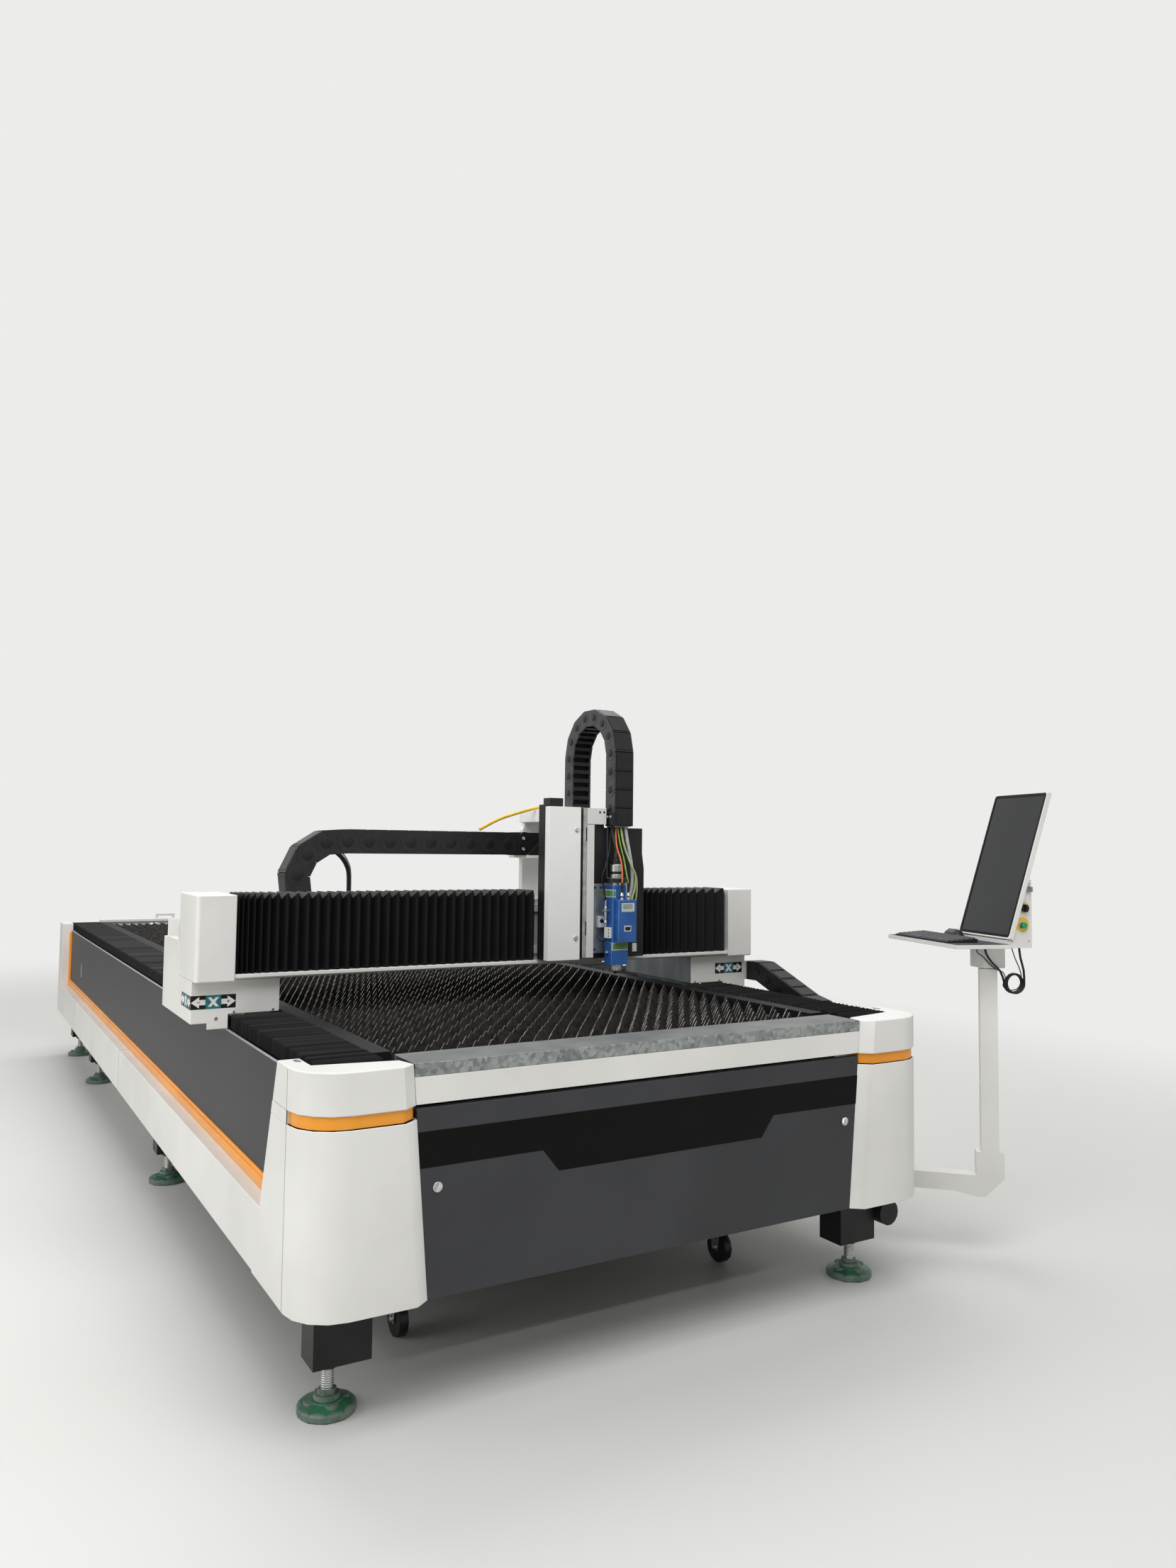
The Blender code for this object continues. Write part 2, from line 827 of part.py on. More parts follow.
def build_front(machine):
    low_half = bay_half(BAND_BOTTOM) - 2 * GAP
    high_half = bay_half(BAND_TOP) - 2 * GAP
    outline = [
        (-low_half, BAND_BOTTOM),
        (low_half, BAND_BOTTOM),
        (high_half, BAND_TOP),
        (-high_half, BAND_TOP),
    ]
    machine.place("front_band", prism(outline, "Y", 0.0, BAND_DEPTH), white())
    inner = STRIP_DEPTH - STRIP_WALL
    foot = BAND_TOP + GAP
    strip = [
        (0.0, foot),
        (STRIP_WALL, foot),
        (STRIP_WALL, RIM_TOP - STRIP_WALL),
        (inner, RIM_TOP - STRIP_WALL),
        (inner, foot),
        (STRIP_DEPTH, foot),
        (STRIP_DEPTH, RIM_TOP),
        (0.0, RIM_TOP),
    ]
    machine.place("front_strip", prism(strip, "X", -high_half, high_half), galvanised())
    build_door(machine)


def build_door(machine):
    """Lift-off front panel held by two quarter-turn locks."""
    top = bay_half(DOOR_TOP) - 2 * GAP
    bottom = bay_half(SKIRT_BOTTOM) - 2 * GAP
    outline = [(-bottom, SKIRT_BOTTOM), (bottom, SKIRT_BOTTOM), (top, DOOR_TOP), (-top, DOOR_TOP)]
    door = prism(outline, "Y", 0.0, DOOR_DEPTH)
    bores = [
        prism(circle(bore_radius(LOCK_BORE, 12), 12, (x, LOCK_Z)), "Y", -SHEET, DOOR_DEPTH + SHEET)
        for x in (-LOCK_X, LOCK_X)
    ]
    machine.place("front_door", cut(door, *bores), charcoal())
    for side, x in (("left", -LOCK_X), ("right", LOCK_X)):
        name = "door_lock_" + side
        machine.body(name + "_body", "bed", (x, 0.0, LOCK_Z))
        reach = math.copysign(bay_half(LOCK_Z) - LOCK_X + LOCK_REACH, x)
        lock = quarter_lock(x, LOCK_Z, 0.0, DOOR_DEPTH, reach)
        machine.place(name, lock, steel(), name + "_body")


def quarter_lock(x, z, front, back, reach, bore=LOCK_BORE, head=LOCK_RADIUS):
    """Round lock with its stem through a panel and a cam bar behind it."""
    profile = [
        (head, front - LOCK_PROUD),
        (head, front - GAP),
        (bore, front - GAP),
        (bore, back + 2 * SHEET),
    ]
    stem = turned(profile, 12)
    transformed(stem, Matrix.Rotation(math.radians(-90), 4, "X"))
    moved(stem, (x, 0.0, z))
    low = min(x, x + reach)
    high = max(x, x + reach)
    cam = block(low, high, back + 2 * GAP, back + SHEET, z - CAM_HALF, z + CAM_HALF)
    return union(stem, cam)


def build_sides(machine):
    for side in ("left", "right"):
        def flip(body):
            return mirrored(body) if side == "left" else body

        front_low = post_rear(LEDGE) + GAP
        front_high = post_rear(PANEL_TOP) + GAP
        outline = [
            (front_low, LEDGE + GAP),
            (PANEL_REAR, LEDGE + GAP),
            (PANEL_REAR, PANEL_TOP),
            (front_high, PANEL_TOP),
        ]
        panel = prism(outline, "X", BEAM_OUTER + GAP, PANEL_HALF)
        radius = SLOT_WIDTH / 2
        slot = corner_arc((SLOT_Y, SLOT_LOW + radius), radius, 180, 360, 4)
        slot += corner_arc((SLOT_Y, SLOT_HIGH - radius), radius, 0, 180, 4)
        slot_tool = prism(slot, "X", PANEL_HALF - SLOT_DEPTH, PANEL_HALF + SLOT_DEPTH)
        machine.place("side_panel_" + side, flip(cut(panel, slot_tool)), grey())

        ledge_in = BEAM_OUTER + GAP
        sheet = [
            (SKIRT_HALF, SKIRT_BOTTOM),
            (SKIRT_HALF, LEDGE),
            (ledge_in, LEDGE),
            (ledge_in, LEDGE - SHEET),
            (SKIRT_HALF - SHEET, LEDGE - SHEET),
            (SKIRT_HALF - SHEET, SKIRT_BOTTOM),
        ]
        skirt = prism(sheet, "Y", post_rear(LEDGE) + GAP, PANEL_REAR)
        under = SKIRT_BOTTOM - SHEET
        over = LEDGE + SHEET
        slanted = [
            (0.0, under),
            (post_rear(under) + GAP, under),
            (post_rear(LEDGE) + GAP, LEDGE),
            (post_rear(LEDGE) + GAP, over),
            (0.0, over),
        ]
        wedge = prism(slanted, "X", BEAM_OUTER - SHEET, SKIRT_HALF + SHEET)
        machine.place("side_skirt_" + side, flip(cut(skirt, wedge)), white())
        machine.place("side_trim_" + side, flip(side_trim()), orange())


def side_trim():
    """U of orange bar lying on the side panel along its front, bottom and rear edge."""
    low = LEDGE + 2 * GAP
    high = PANEL_TOP - 0.010
    width = TRIM_WIDTH
    rear = PANEL_REAR - GAP
    outline = [
        (post_rear(high) + 2 * GAP, high),
        (post_rear(low) + 2 * GAP, low),
        (rear, low),
        (rear, high),
        (rear - width, high),
        (rear - width, low + width),
        (post_rear(low + width) + width, low + width),
        (post_rear(high) + width, high),
    ]
    return prism(outline, "X", PANEL_HALF + GAP, PANEL_HALF + TRIM_DEPTH)


def build_rear(machine):
    """Rear wall with both rear corners, its raised rim, hand slot and lifting handle."""
    inner_y = BED_LENGTH - REAR_WALL
    front = PANEL_REAR + GAP
    outline = [
        (SKIRT_HALF, front),
        (SKIRT_HALF, BED_LENGTH),
        (-SKIRT_HALF, BED_LENGTH),
        (-SKIRT_HALF, front),
        (-BEAM_OUTER - GAP, front),
        (-BEAM_OUTER - GAP, inner_y),
        (BEAM_OUTER + GAP, inner_y),
        (BEAM_OUTER + GAP, front),
    ]
    wall = prism(outline, "Z", SKIRT_BOTTOM, RIM_TOP)
    rim = block(
        -REAR_RIM_HALF, REAR_RIM_HALF, inner_y - REAR_RIM_DEPTH, BED_LENGTH, RIM_TOP - SHEET, REAR_TOP
    )
    slot = block(
        HAND_SLOT_LEFT, HAND_SLOT_RIGHT, inner_y - REAR_WALL, BED_LENGTH + SHEET,
        HAND_SLOT_LOW, HAND_SLOT_HIGH,
    )
    handle_y = inner_y - REAR_RIM_DEPTH / 3
    foot = REAR_TOP - SHEET
    handle_path = [
        Vector((HANDLE_LEFT, handle_y, foot)),
        Vector((HANDLE_LEFT, handle_y, HANDLE_HIGH)),
        Vector((HANDLE_RIGHT, handle_y, HANDLE_HIGH)),
        Vector((HANDLE_RIGHT, handle_y, foot)),
    ]
    handle = swept(handle_path, HANDLE_BAR / 2, HANDLE_BAR / 2, Vector((0, 1, 0)))
    machine.place("rear_wall", cut(union(wall, rim, handle), slot), white())


def swept(path, half_wide, half_tall, side):
    """Rectangular bar mitred along a path; side is the bar's constant cross direction."""
    rings = []
    for index, point in enumerate(path):
        before = (point - path[index - 1]).normalized() if index else None
        after = (path[index + 1] - point).normalized() if index < len(path) - 1 else None
        tangent = ((before or after) + (after or before)).normalized()
        normal = side.cross(tangent).normalized()
        stretch = 1.0 / max(normal.dot(side.cross(after or before).normalized()), 0.3)
        wide = side * half_wide
        tall = normal * half_tall * stretch
        rings.append(square_ring(point, wide, tall))
    return loft(rings)


def square_ring(point, wide, tall):
    return [point + wide + tall, point + wide - tall, point - wide - tall, point - wide + tall]


def pleated(stations, ring_at):
    """Loft of rings along stations, each fold standing out and in by turns."""
    return loft([ring_at(place, fold) for place, fold in stations])


def fold_stations(start, end, pleats):
    """Places along a bellows with 0 on each valley and 1 on each crest."""
    stations = []
    for step in range(2 * pleats + 1):
        stations.append((start + (end - start) * step / (2 * pleats), step % 2))
    return stations


def bed_bellows(start, end, pleats):
    def ring(y, crest):
        lift = 0.0 if crest else -PLEAT_DEPTH
        return [
            Vector((BELLOWS_INNER, y, RAIL_TOP + GAP)),
            Vector((BELLOWS_OUTER + lift, y, RAIL_TOP + GAP)),
            Vector((BELLOWS_OUTER + lift, y, RIM_TOP + lift)),
            Vector((BELLOWS_INNER, y, RIM_TOP + lift)),
        ]

    return pleated(fold_stations(start, end, pleats), ring)


def build_bed_bellows(machine):
    for side in ("left", "right"):
        front = bed_bellows(BELLOWS_FRONT, BOX_FRONT - GAP, FRONT_PLEATS)
        rear = bed_bellows(BOX_REAR + GAP, BELLOWS_REAR, REAR_PLEATS)
        if side == "left":
            mirrored(front)
            mirrored(rear)
        machine.place("bellows_front_" + side, front, rubber())
        machine.place("bellows_rear_" + side, rear, rubber())


def path_length(points):
    return sum((after - before).length for before, after in zip(points, points[1:]))


def along(points, distance):
    """Point and direction at a distance along a polyline."""
    left = distance
    for before, after in zip(points, points[1:]):
        step = (after - before).length
        if left <= step or after is points[-1]:
            direction = (after - before).normalized()
            return before + direction * left, direction
        left -= step
    return points[-1], (points[-1] - points[-2]).normalized()


def linked(points, pitch, half_wide, half_thick, side, plain=0.0):
    """Energy chain: each link is a box with a narrow waist where it joins the next."""
    length = path_length(points)
    count = round(length / pitch)
    step = length / count
    stations = []
    for link in range(count):
        start = link * step
        if start + step <= plain:
            continue
        stations.append((start, WAIST))
        stations.append((start + (1 - LINK_PLATE) / 2 * step, 1.0))
        stations.append((start + (1 + LINK_PLATE) / 2 * step, 1.0))
    if plain > 0.0:
        stations.insert(0, (0.0, 1.0))
    stations.append((length, WAIST))
    rings = []
    for distance, scale in stations:
        point, direction = along(points, distance)
        across = side * half_wide * scale
        tall = side.cross(direction).normalized() * half_thick * scale
        rings.append(square_ring(point, across, tall))
    return loft(rings)


def arc_points(centre, radius, start, end, steps, make):
    return [make(*pair) for pair in corner_arc(centre, radius, start, end, steps)]


def build_bed_chain(machine):
    """Tray on the right side with the chain that follows the gantry along the bed."""
    outline = [
        (YT_LEFT, YT_FLOOR),
        (YT_RIGHT, YT_FLOOR),
        (YT_RIGHT, YT_TOP),
        (YT_RIGHT - TRAY_WALL, YT_TOP),
        (YT_RIGHT - TRAY_WALL, YT_FLOOR + TRAY_WALL),
        (YT_LEFT + TRAY_WALL, YT_FLOOR + TRAY_WALL),
        (YT_LEFT + TRAY_WALL, YT_TOP),
        (YT_LEFT, YT_TOP),
    ]
    tray = prism(outline, "Y", YT_FRONT, YT_REAR)
    arms = [
        block(
            PANEL_HALF + GAP,
            YT_RIGHT - YT_ARM_SHORT,
            y - YT_ARM_WIDTH / 2,
            y + YT_ARM_WIDTH / 2,
            YT_FLOOR - YT_ARM_WIDTH,
            YT_FLOOR + TRAY_WALL / 2,
        )
        for y in YT_ARMS
    ]
    machine.place("bed_chain_tray", union(tray, *arms), black())

    middle = (YC_LEFT + YC_RIGHT) / 2
    upper_z = YC_LOWER_Z + 2 * YC_RADIUS
    points = [Vector((middle, YC_FIXED, YC_LOWER_Z))]
    points += arc_points(
        (YC_BEND_Y, YC_LOWER_Z + YC_RADIUS), YC_RADIUS, 270, 90, 10,
        lambda y, z: Vector((middle, y, z)),
    )
    points.append(Vector((middle, YC_BEND_Y + YC_LEVEL, upper_z + SHEET)))
    points.append(Vector((middle, YC_END_Y - YC_PITCH, YC_END_Z)))
    points.append(Vector((middle, YC_END_Y, YC_END_Z)))
    chain = linked(
        points, YC_PITCH, (YC_RIGHT - YC_LEFT) / 2, YC_THICK / 2, Vector((1, 0, 0)),
        plain=YC_FIXED - YC_BEND_Y,
    )
    machine.place("bed_chain", chain, plastic())


def build_cart(machine):
    """Open scrap cart on four castors, standing under the front half of the slats."""
    tub = block(-CART_HALF, CART_HALF, CART_FRONT, CART_REAR, CART_BOTTOM, CART_TOP)
    hollow = block(
        -CART_HALF + CART_WALL,
        CART_HALF - CART_WALL,
        CART_FRONT + CART_WALL,
        CART_REAR - CART_WALL,
        CART_BOTTOM + CART_WALL,
        CART_TOP + SHEET,
    )
    castors = []
    for x in (-CASTOR_X, CASTOR_X):
        for y in (CART_FRONT + CASTOR_INSET, CART_REAR - CASTOR_INSET):
            wheel = prism(
                circle(CASTOR_RADIUS, 12, (y, CASTOR_RADIUS)),
                "X",
                x - CASTOR_WIDTH / 2,
                x + CASTOR_WIDTH / 2,
            )
            fork = block(
                x - CASTOR_WIDTH / 2 - SHEET,
                x + CASTOR_WIDTH / 2 + SHEET,
                y - FORK_HALF,
                y + FORK_HALF,
                CASTOR_RADIUS,
                CART_BOTTOM + CART_WALL / 2,
            )
            castors += [wheel, fork]
    machine.place("scrap_cart", union(cut(tub, hollow), *castors), black())


def build_gantry(machine):
    machine.body("gantry", "bed", (0.0, BOX_FRONT, BOX_TOP))
    outline = [
        (GUARD_Y, GUARD_LOW),
        (BOX_FRONT, GUARD_LOW),
        (BOX_FRONT, BOX_TOP + GAP),
        (BEAM_BACK_Y, BOX_TOP + GAP),
        (BEAM_BACK_Y, BEAM_CROWN),
        (BEAM_FACE_Y, BEAM_CROWN),
    ]
    for height in RAIL_HEIGHTS[::-1]:
        outline += [
            (BEAM_FACE_Y, height + RAIL_HEIGHT / 2),
            (BEAM_RAIL_Y, height + RAIL_HEIGHT / 2),
            (BEAM_RAIL_Y, height - RAIL_HEIGHT / 2),
            (BEAM_FACE_Y, height - RAIL_HEIGHT / 2),
        ]
    outline += [(BEAM_FACE_Y, GUARD_HIGH), (GUARD_Y, GUARD_HIGH)]
    beam = prism(outline, "X", -COVER_INNER + GAP, COVER_INNER - GAP)
    machine.place("gantry_beam", beam, white(), "gantry")
    for side in ("left", "right"):
        end = end_box()
        cover = end_cover()
        if side == "right":
            bracket = block(
                BOX_OUTER - SHEET, YC_RIGHT, YC_END_Y + GAP, YC_END_Y + BRACKET_THICK,
                YC_END_Z - YC_THICK / 2, YC_END_Z + YC_THICK / 2,
            )
            end = union(end, bracket)
        else:
            mirrored(end)
            mirrored(cover)
        machine.place("gantry_box_" + side, end, white(), "gantry")
        machine.place("gantry_cover_" + side, cover, white(), "gantry")
    build_beam_bellows(machine)
    build_beam_chain(machine)


def end_box():
    """Gantry foot: stepped box with an outer lip and a shoe that rides on the rail."""
    outline = [
        (BOX_FRONT, BOX_BOTTOM),
        (BOX_REAR, BOX_BOTTOM),
        (BOX_REAR, BOX_STEP_TOP),
        (BOX_STEP_Y, BOX_STEP_TOP),
        (BOX_STEP_Y, BOX_TOP),
        (BOX_FRONT, BOX_TOP),
    ]
    box = prism(outline, "X", BOX_INNER, BOX_OUTER)
    lip = block(PANEL_HALF - SHEET, BOX_OUTER, BOX_FRONT, BOX_REAR, BOX_LIP, BOX_BOTTOM + SHEET)
    shoe = block(
        RAIL_INNER - SHOE_SPREAD,
        RAIL_OUTER + SHOE_SPREAD,
        SHOE_FRONT,
        SHOE_REAR,
        RAIL_TOP + GAP,
        BOX_BOTTOM + SHEET,
    )
    tab_left = PANEL_HALF - SHEET
    tab = block(
        tab_left, tab_left + TAB_WIDTH, BOX_FRONT, BOX_FRONT + SHEET, TAB_BOTTOM, BOX_LIP + SHEET
    )
    return union(box, lip, shoe, tab)


def end_cover():
    """Upright end housing of the beam with softly rounded vertical edges."""
    low_x = COVER_INNER
    outline = [(low_x, COVER_FRONT)]
    outline += corner_arc(
        (BOX_OUTER - COVER_ROUND, COVER_FRONT + COVER_ROUND), COVER_ROUND, -90, 0, 3
    )
    outline += [(BOX_OUTER, BOX_STEP_Y - GAP), (low_x, BOX_STEP_Y - GAP)]
    return prism(outline, "Z", BOX_TOP + GAP, COVER_RIM)


def beam_bellows(start, end, pleats):
    def ring(x, crest):
        fold = 0.0 if crest else PLEAT_DEPTH
        front = XB_FRONT + fold
        top = XB_TOP - fold
        inner = XB_FRONT + XB_DEPTH
        roof = BEAM_CROWN + GAP
        return [
            Vector((x, front, XB_BOTTOM)),
            Vector((x, front, top)),
            Vector((x, XB_BACK, top)),
            Vector((x, XB_BACK, roof)),
            Vector((x, inner, roof)),
            Vector((x, inner, XB_BOTTOM)),
        ]

    return pleated(fold_stations(start, end, pleats), ring)


def build_beam_bellows(machine):
    left = beam_bellows(-COVER_INNER + GAP, PLATE_LEFT - GAP, XB_LEFT_PLEATS)
    right = beam_bellows(PLATE_RIGHT + GAP, COVER_INNER - GAP, XB_RIGHT_PLEATS)
    machine.place("beam_bellows_left", left, rubber(), "gantry")
    machine.place("beam_bellows_right", right, rubber(), "gantry")


def build_beam_chain(machine):
    floor = BOX_STEP_TOP + GAP
    outline = [
        (TRAY_FRONT, floor),
        (TRAY_BACK, floor),
        (TRAY_BACK, TRAY_RIM),
        (TRAY_BACK - TRAY_WALL, TRAY_RIM),
        (TRAY_BACK - TRAY_WALL, floor + TRAY_WALL),
        (TRAY_FRONT + TRAY_WALL, floor + TRAY_WALL),
        (TRAY_FRONT + TRAY_WALL, TRAY_RIM),
        (TRAY_FRONT, TRAY_RIM),
    ]
    tray = prism(outline, "X", -BOX_OUTER, BOX_OUTER)
    machine.place("beam_chain_tray", tray, white(), "gantry")
    middle = (XC_FRONT + XC_BACK) / 2
    points = [Vector((XC_FIXED, middle, XC_BEND_Z - XC_RADIUS))]
    points += arc_points(
        (XC_BEND_X, XC_BEND_Z), XC_RADIUS, 270, 90, 12, lambda x, z: Vector((x, middle, z))
    )
    points.append(Vector((XC_END, middle, XC_BEND_Z + XC_RADIUS)))
    chain = linked(points, XC_PITCH, (XC_BACK - XC_FRONT) / 2, XC_THICK / 2, Vector((0, 1, 0)))
    machine.place("beam_chain", chain, plastic(), "gantry")


def build_carriage(machine):
    machine.body("head_carriage", "gantry", (HEAD_X, PLATE_FRONT, PLATE_LOW))
    outline = [
        (PLATE_LEFT, PLATE_LOW),
        (PLATE_RIGHT, PLATE_LOW),
        (PLATE_RIGHT, WING_LOW),
        (WING_X, WING_HIGH),
        (WING_X, PLATE_STEP_Z),
        (PLATE_STEP_X, PLATE_STEP_Z),
        (PLATE_STEP_X, ARM_HIGH),
        (DRIVE_RIGHT, ARM_HIGH),
        (DRIVE_RIGHT, DRIVE_HIGH),
        (DRIVE_LEFT, DRIVE_HIGH),
        (DRIVE_LEFT, PLATE_HIGH),
        (PLATE_LEFT, PLATE_HIGH),
    ]
    plate = prism(outline, "Y", PLATE_FRONT, PLATE_BACK)
    blocks = [
        block(
            BLOCK_LEFT, BLOCK_RIGHT, PLATE_BACK - SHEET, BEAM_RAIL_Y - GAP,
            height - BLOCK_TALL / 2, height + BLOCK_TALL / 2,
        )
        for height in RAIL_HEIGHTS
    ]
    machine.place("carriage_plate", union(plate, *blocks), black(), "head_carriage")
    build_z_cover(machine)
    build_chain_arm(machine)
    build_z_chain(machine)
    build_fibre(machine)


def build_z_cover(machine):
    """White housing of the lifting drive on the left of the carriage, with two locks."""
    back = PLATE_FRONT - GAP
    shell = block(ZCOVER_LEFT, ZCOVER_RIGHT, ZCOVER_FRONT, back, ZCOVER_LOW, ZCOVER_HIGH)
    hollow = block(
        ZCOVER_LEFT + SHEET,
        ZCOVER_RIGHT - SHEET,
        ZCOVER_FRONT + SHEET,
        back + SHEET,
        ZCOVER_LOW + SHEET,
        ZCOVER_HIGH - SHEET,
    )
    bores = [
        prism(
            circle(bore_radius(ZLOCK_BORE, 12), 12, (ZLOCK_X, z)), "Y", ZCOVER_FRONT - SHEET,
            ZCOVER_FRONT + 2 * SHEET,
        )
        for z in ZLOCK_HEIGHTS
    ]
    machine.place("z_cover", cut(shell, hollow, *bores), white(), "head_carriage")
    for name, z in zip(("z_lock_upper", "z_lock_lower"), ZLOCK_HEIGHTS):
        machine.body(name + "_body", "head_carriage", (ZLOCK_X, ZCOVER_FRONT, z))
        lock = quarter_lock(
            ZLOCK_X, z, ZCOVER_FRONT, ZCOVER_FRONT + SHEET, -ZLOCK_REACH, ZLOCK_BORE, ZLOCK_RADIUS
        )
        machine.place(name, lock, steel(), name + "_body")


def build_chain_arm(machine):
    """White arm over the beam that carries the lifting chain and the beam chain's end."""
    front = PLATE_BACK + GAP
    arm = block(ARM_LEFT, ARM_RIGHT, front, ARM_REAR, ARM_LOW, ARM_HIGH)
    plate_front = ARM_REAR - ARM_PLATE
    outline = [
        (ARM_LEFT, ARM_DROP),
        (ARM_RIGHT, ARM_DROP),
        (ARM_RIGHT, ARM_HIGH),
        (ARM_LEFT + ARM_CHAMFER, ARM_HIGH),
        (ARM_LEFT, ARM_HIGH - 2 * ARM_CHAMFER),
    ]
    back = prism(outline, "Y", plate_front, ARM_REAR)
    shelf_top = XC_BEND_Z + XC_RADIUS - XC_THICK / 2 - GAP
    shelf = block(
        XC_END + GAP, ARM_LEFT + SHELF_TENON, XC_FRONT, ARM_REAR, shelf_top - SHELF_THICK, shelf_top
    )
    stop = block(
        XC_END + GAP, XC_END + SHELF_THICK, XC_FRONT, XC_BACK,
        shelf_top - SHEET, shelf_top + XC_THICK,
    )
    machine.place("chain_arm", union(arm, back, shelf, stop), white(), "head_carriage")


def build_z_chain(machine):
    middle = (ZC_LEFT + ZC_RIGHT) / 2
    radius = (ZC_BACK_Y - ZC_FRONT_Y) / 2
    centre = ((ZC_BACK_Y + ZC_FRONT_Y) / 2, ZC_ARCH_Z)
    points = [Vector((middle, ZC_BACK_Y, ARM_HIGH + GAP))]
    points += arc_points(centre, radius, 0, 180, 14, lambda y, z: Vector((middle, y, z)))
    points.append(Vector((middle, ZC_FRONT_Y, ZC_FRONT_END)))
    chain = linked(points, ZC_PITCH, (ZC_RIGHT - ZC_LEFT) / 2, ZC_THICK / 2, Vector((1, 0, 0)))
    machine.place("z_chain", chain, plastic(), "head_carriage")


def cord(points, radius, sides=8):
    """Round cord through its points, with flat ends."""
    rings = []
    previous = None
    for index, point in enumerate(points):
        before = points[max(index - 1, 0)]
        after = points[min(index + 1, len(points) - 1)]
        tangent = (after - before).normalized()
        if previous is None:
            previous = tangent.orthogonal().normalized()
        across = (previous - tangent * previous.dot(tangent)).normalized()
        previous = across
        other = tangent.cross(across)
        ring = []
        for step in range(sides):
            angle = 2 * math.pi * step / sides
            ring.append(point + radius * (math.cos(angle) * across + math.sin(angle) * other))
        rings.append(ring)
    return loft(rings)


def smooth(points, steps):
    """Catmull-Rom curve through hand-picked points."""
    ends = [points[0] * 2 - points[1]] + points + [points[-1] * 2 - points[-2]]
    result = []
    for index in range(len(points) - 1):
        a, b, c, d = ends[index:index + 4]
        for step in range(steps):
            t = step / steps
            result.append(0.5 * (
                2 * b + (c - a) * t + (2 * a - 5 * b + 4 * c - d) * t * t
                + (3 * b - a - 3 * c + d) * t ** 3
            ))
    result.append(points[-1])
    return result


def build_fibre(machine):
    route = smooth([Vector(point) for point in FIBRE_ROUTE], 3)
    machine.place("fibre_cable", cord(route, FIBRE_RADIUS), orange(), "head_carriage")


def build_head(machine):
    machine.body("z_slide", "head_carriage", (HEAD_X, HEAD_Y, LOWER_BOTTOM))
    back = PLATE_FRONT - GAP
    outline = [
        (SLIDE_LEFT, SLIDE_LOW),
        (SLIDE_RIGHT, SLIDE_LOW),
        (SLIDE_RIGHT, ZC_FRONT_END - GAP),
        (ZC_LEFT, ZC_FRONT_END - GAP),
        (ZC_LEFT, SLIDE_SHELF),
        (SLIDE_LEFT, SLIDE_SHELF),
    ]
    slide = prism(outline, "Y", SLIDE_FRONT, back)
    machine.place("slide_plate", slide, grey(), "z_slide")

    rear = SLIDE_FRONT - GAP
    lower = block(
        LOWER_LEFT, LOWER_RIGHT, LOWER_FRONT, LOWER_REAR, LOWER_BOTTOM, MAIN_BOTTOM + SHEET
    )
    body = block(BODY_LEFT, BODY_RIGHT, BODY_FRONT, rear, MAIN_BOTTOM, BODY_TOP)
    front = block(MAIN_LEFT, MAIN_RIGHT, MAIN_FRONT, MAIN_REAR, MAIN_BOTTOM, MAIN_TOP)
    collimator = [
        (FLANGE_RADIUS, BODY_TOP - SHEET),
        (FLANGE_RADIUS, FLANGE_TOP),
        (COLLIMATOR_RADIUS, FLANGE_TOP + NECK_SLOPE),
        (COLLIMATOR_RADIUS, NECK_LOW),
        (COLLIMATOR_NECK, NECK_LOW + NECK_SLOPE),
        (COLLIMATOR_NECK, NECK_HIGH - NECK_SLOPE),
        (COLLIMATOR_RADIUS, NECK_HIGH),
        (COLLIMATOR_RADIUS, COLLIMATOR_TOP - LIP_SLOPE),
        (COLLIMATOR_LIP, COLLIMATOR_TOP),
    ]
    tube = turned(collimator, 14, (HEAD_X, HEAD_Y))
    machine.place("cutting_head", union(body, lower, front, tube), blue(), "z_slide")

    nozzle = [
        (NOZZLE_TIP, NOZZLE_BOTTOM),
        (NOZZLE_RADIUS, NOZZLE_BOTTOM + NOZZLE_CONE),
        (NOZZLE_RADIUS, LOWER_BOTTOM - GAP),
    ]
    machine.place("nozzle", turned(nozzle, 16, (HEAD_X, HEAD_Y)), steel(), "z_slide")
    route = smooth([Vector(point) for point in HOSE_ROUTE], 3)
    machine.place("head_hoses", cord(route, HOSE_RADIUS), plastic(), "z_slide")


def build_console(machine):
    machine.body("console_arm", "bed", (PIVOT_X, PIVOT_Y, ARM_BOTTOM))
    machine.body("console", "console_arm", (POST_X, POST_Y, SLEEVE_LOW))
    machine.place("console_stand", console_stand(), white(), "console_arm")
    build_console_head(machine)


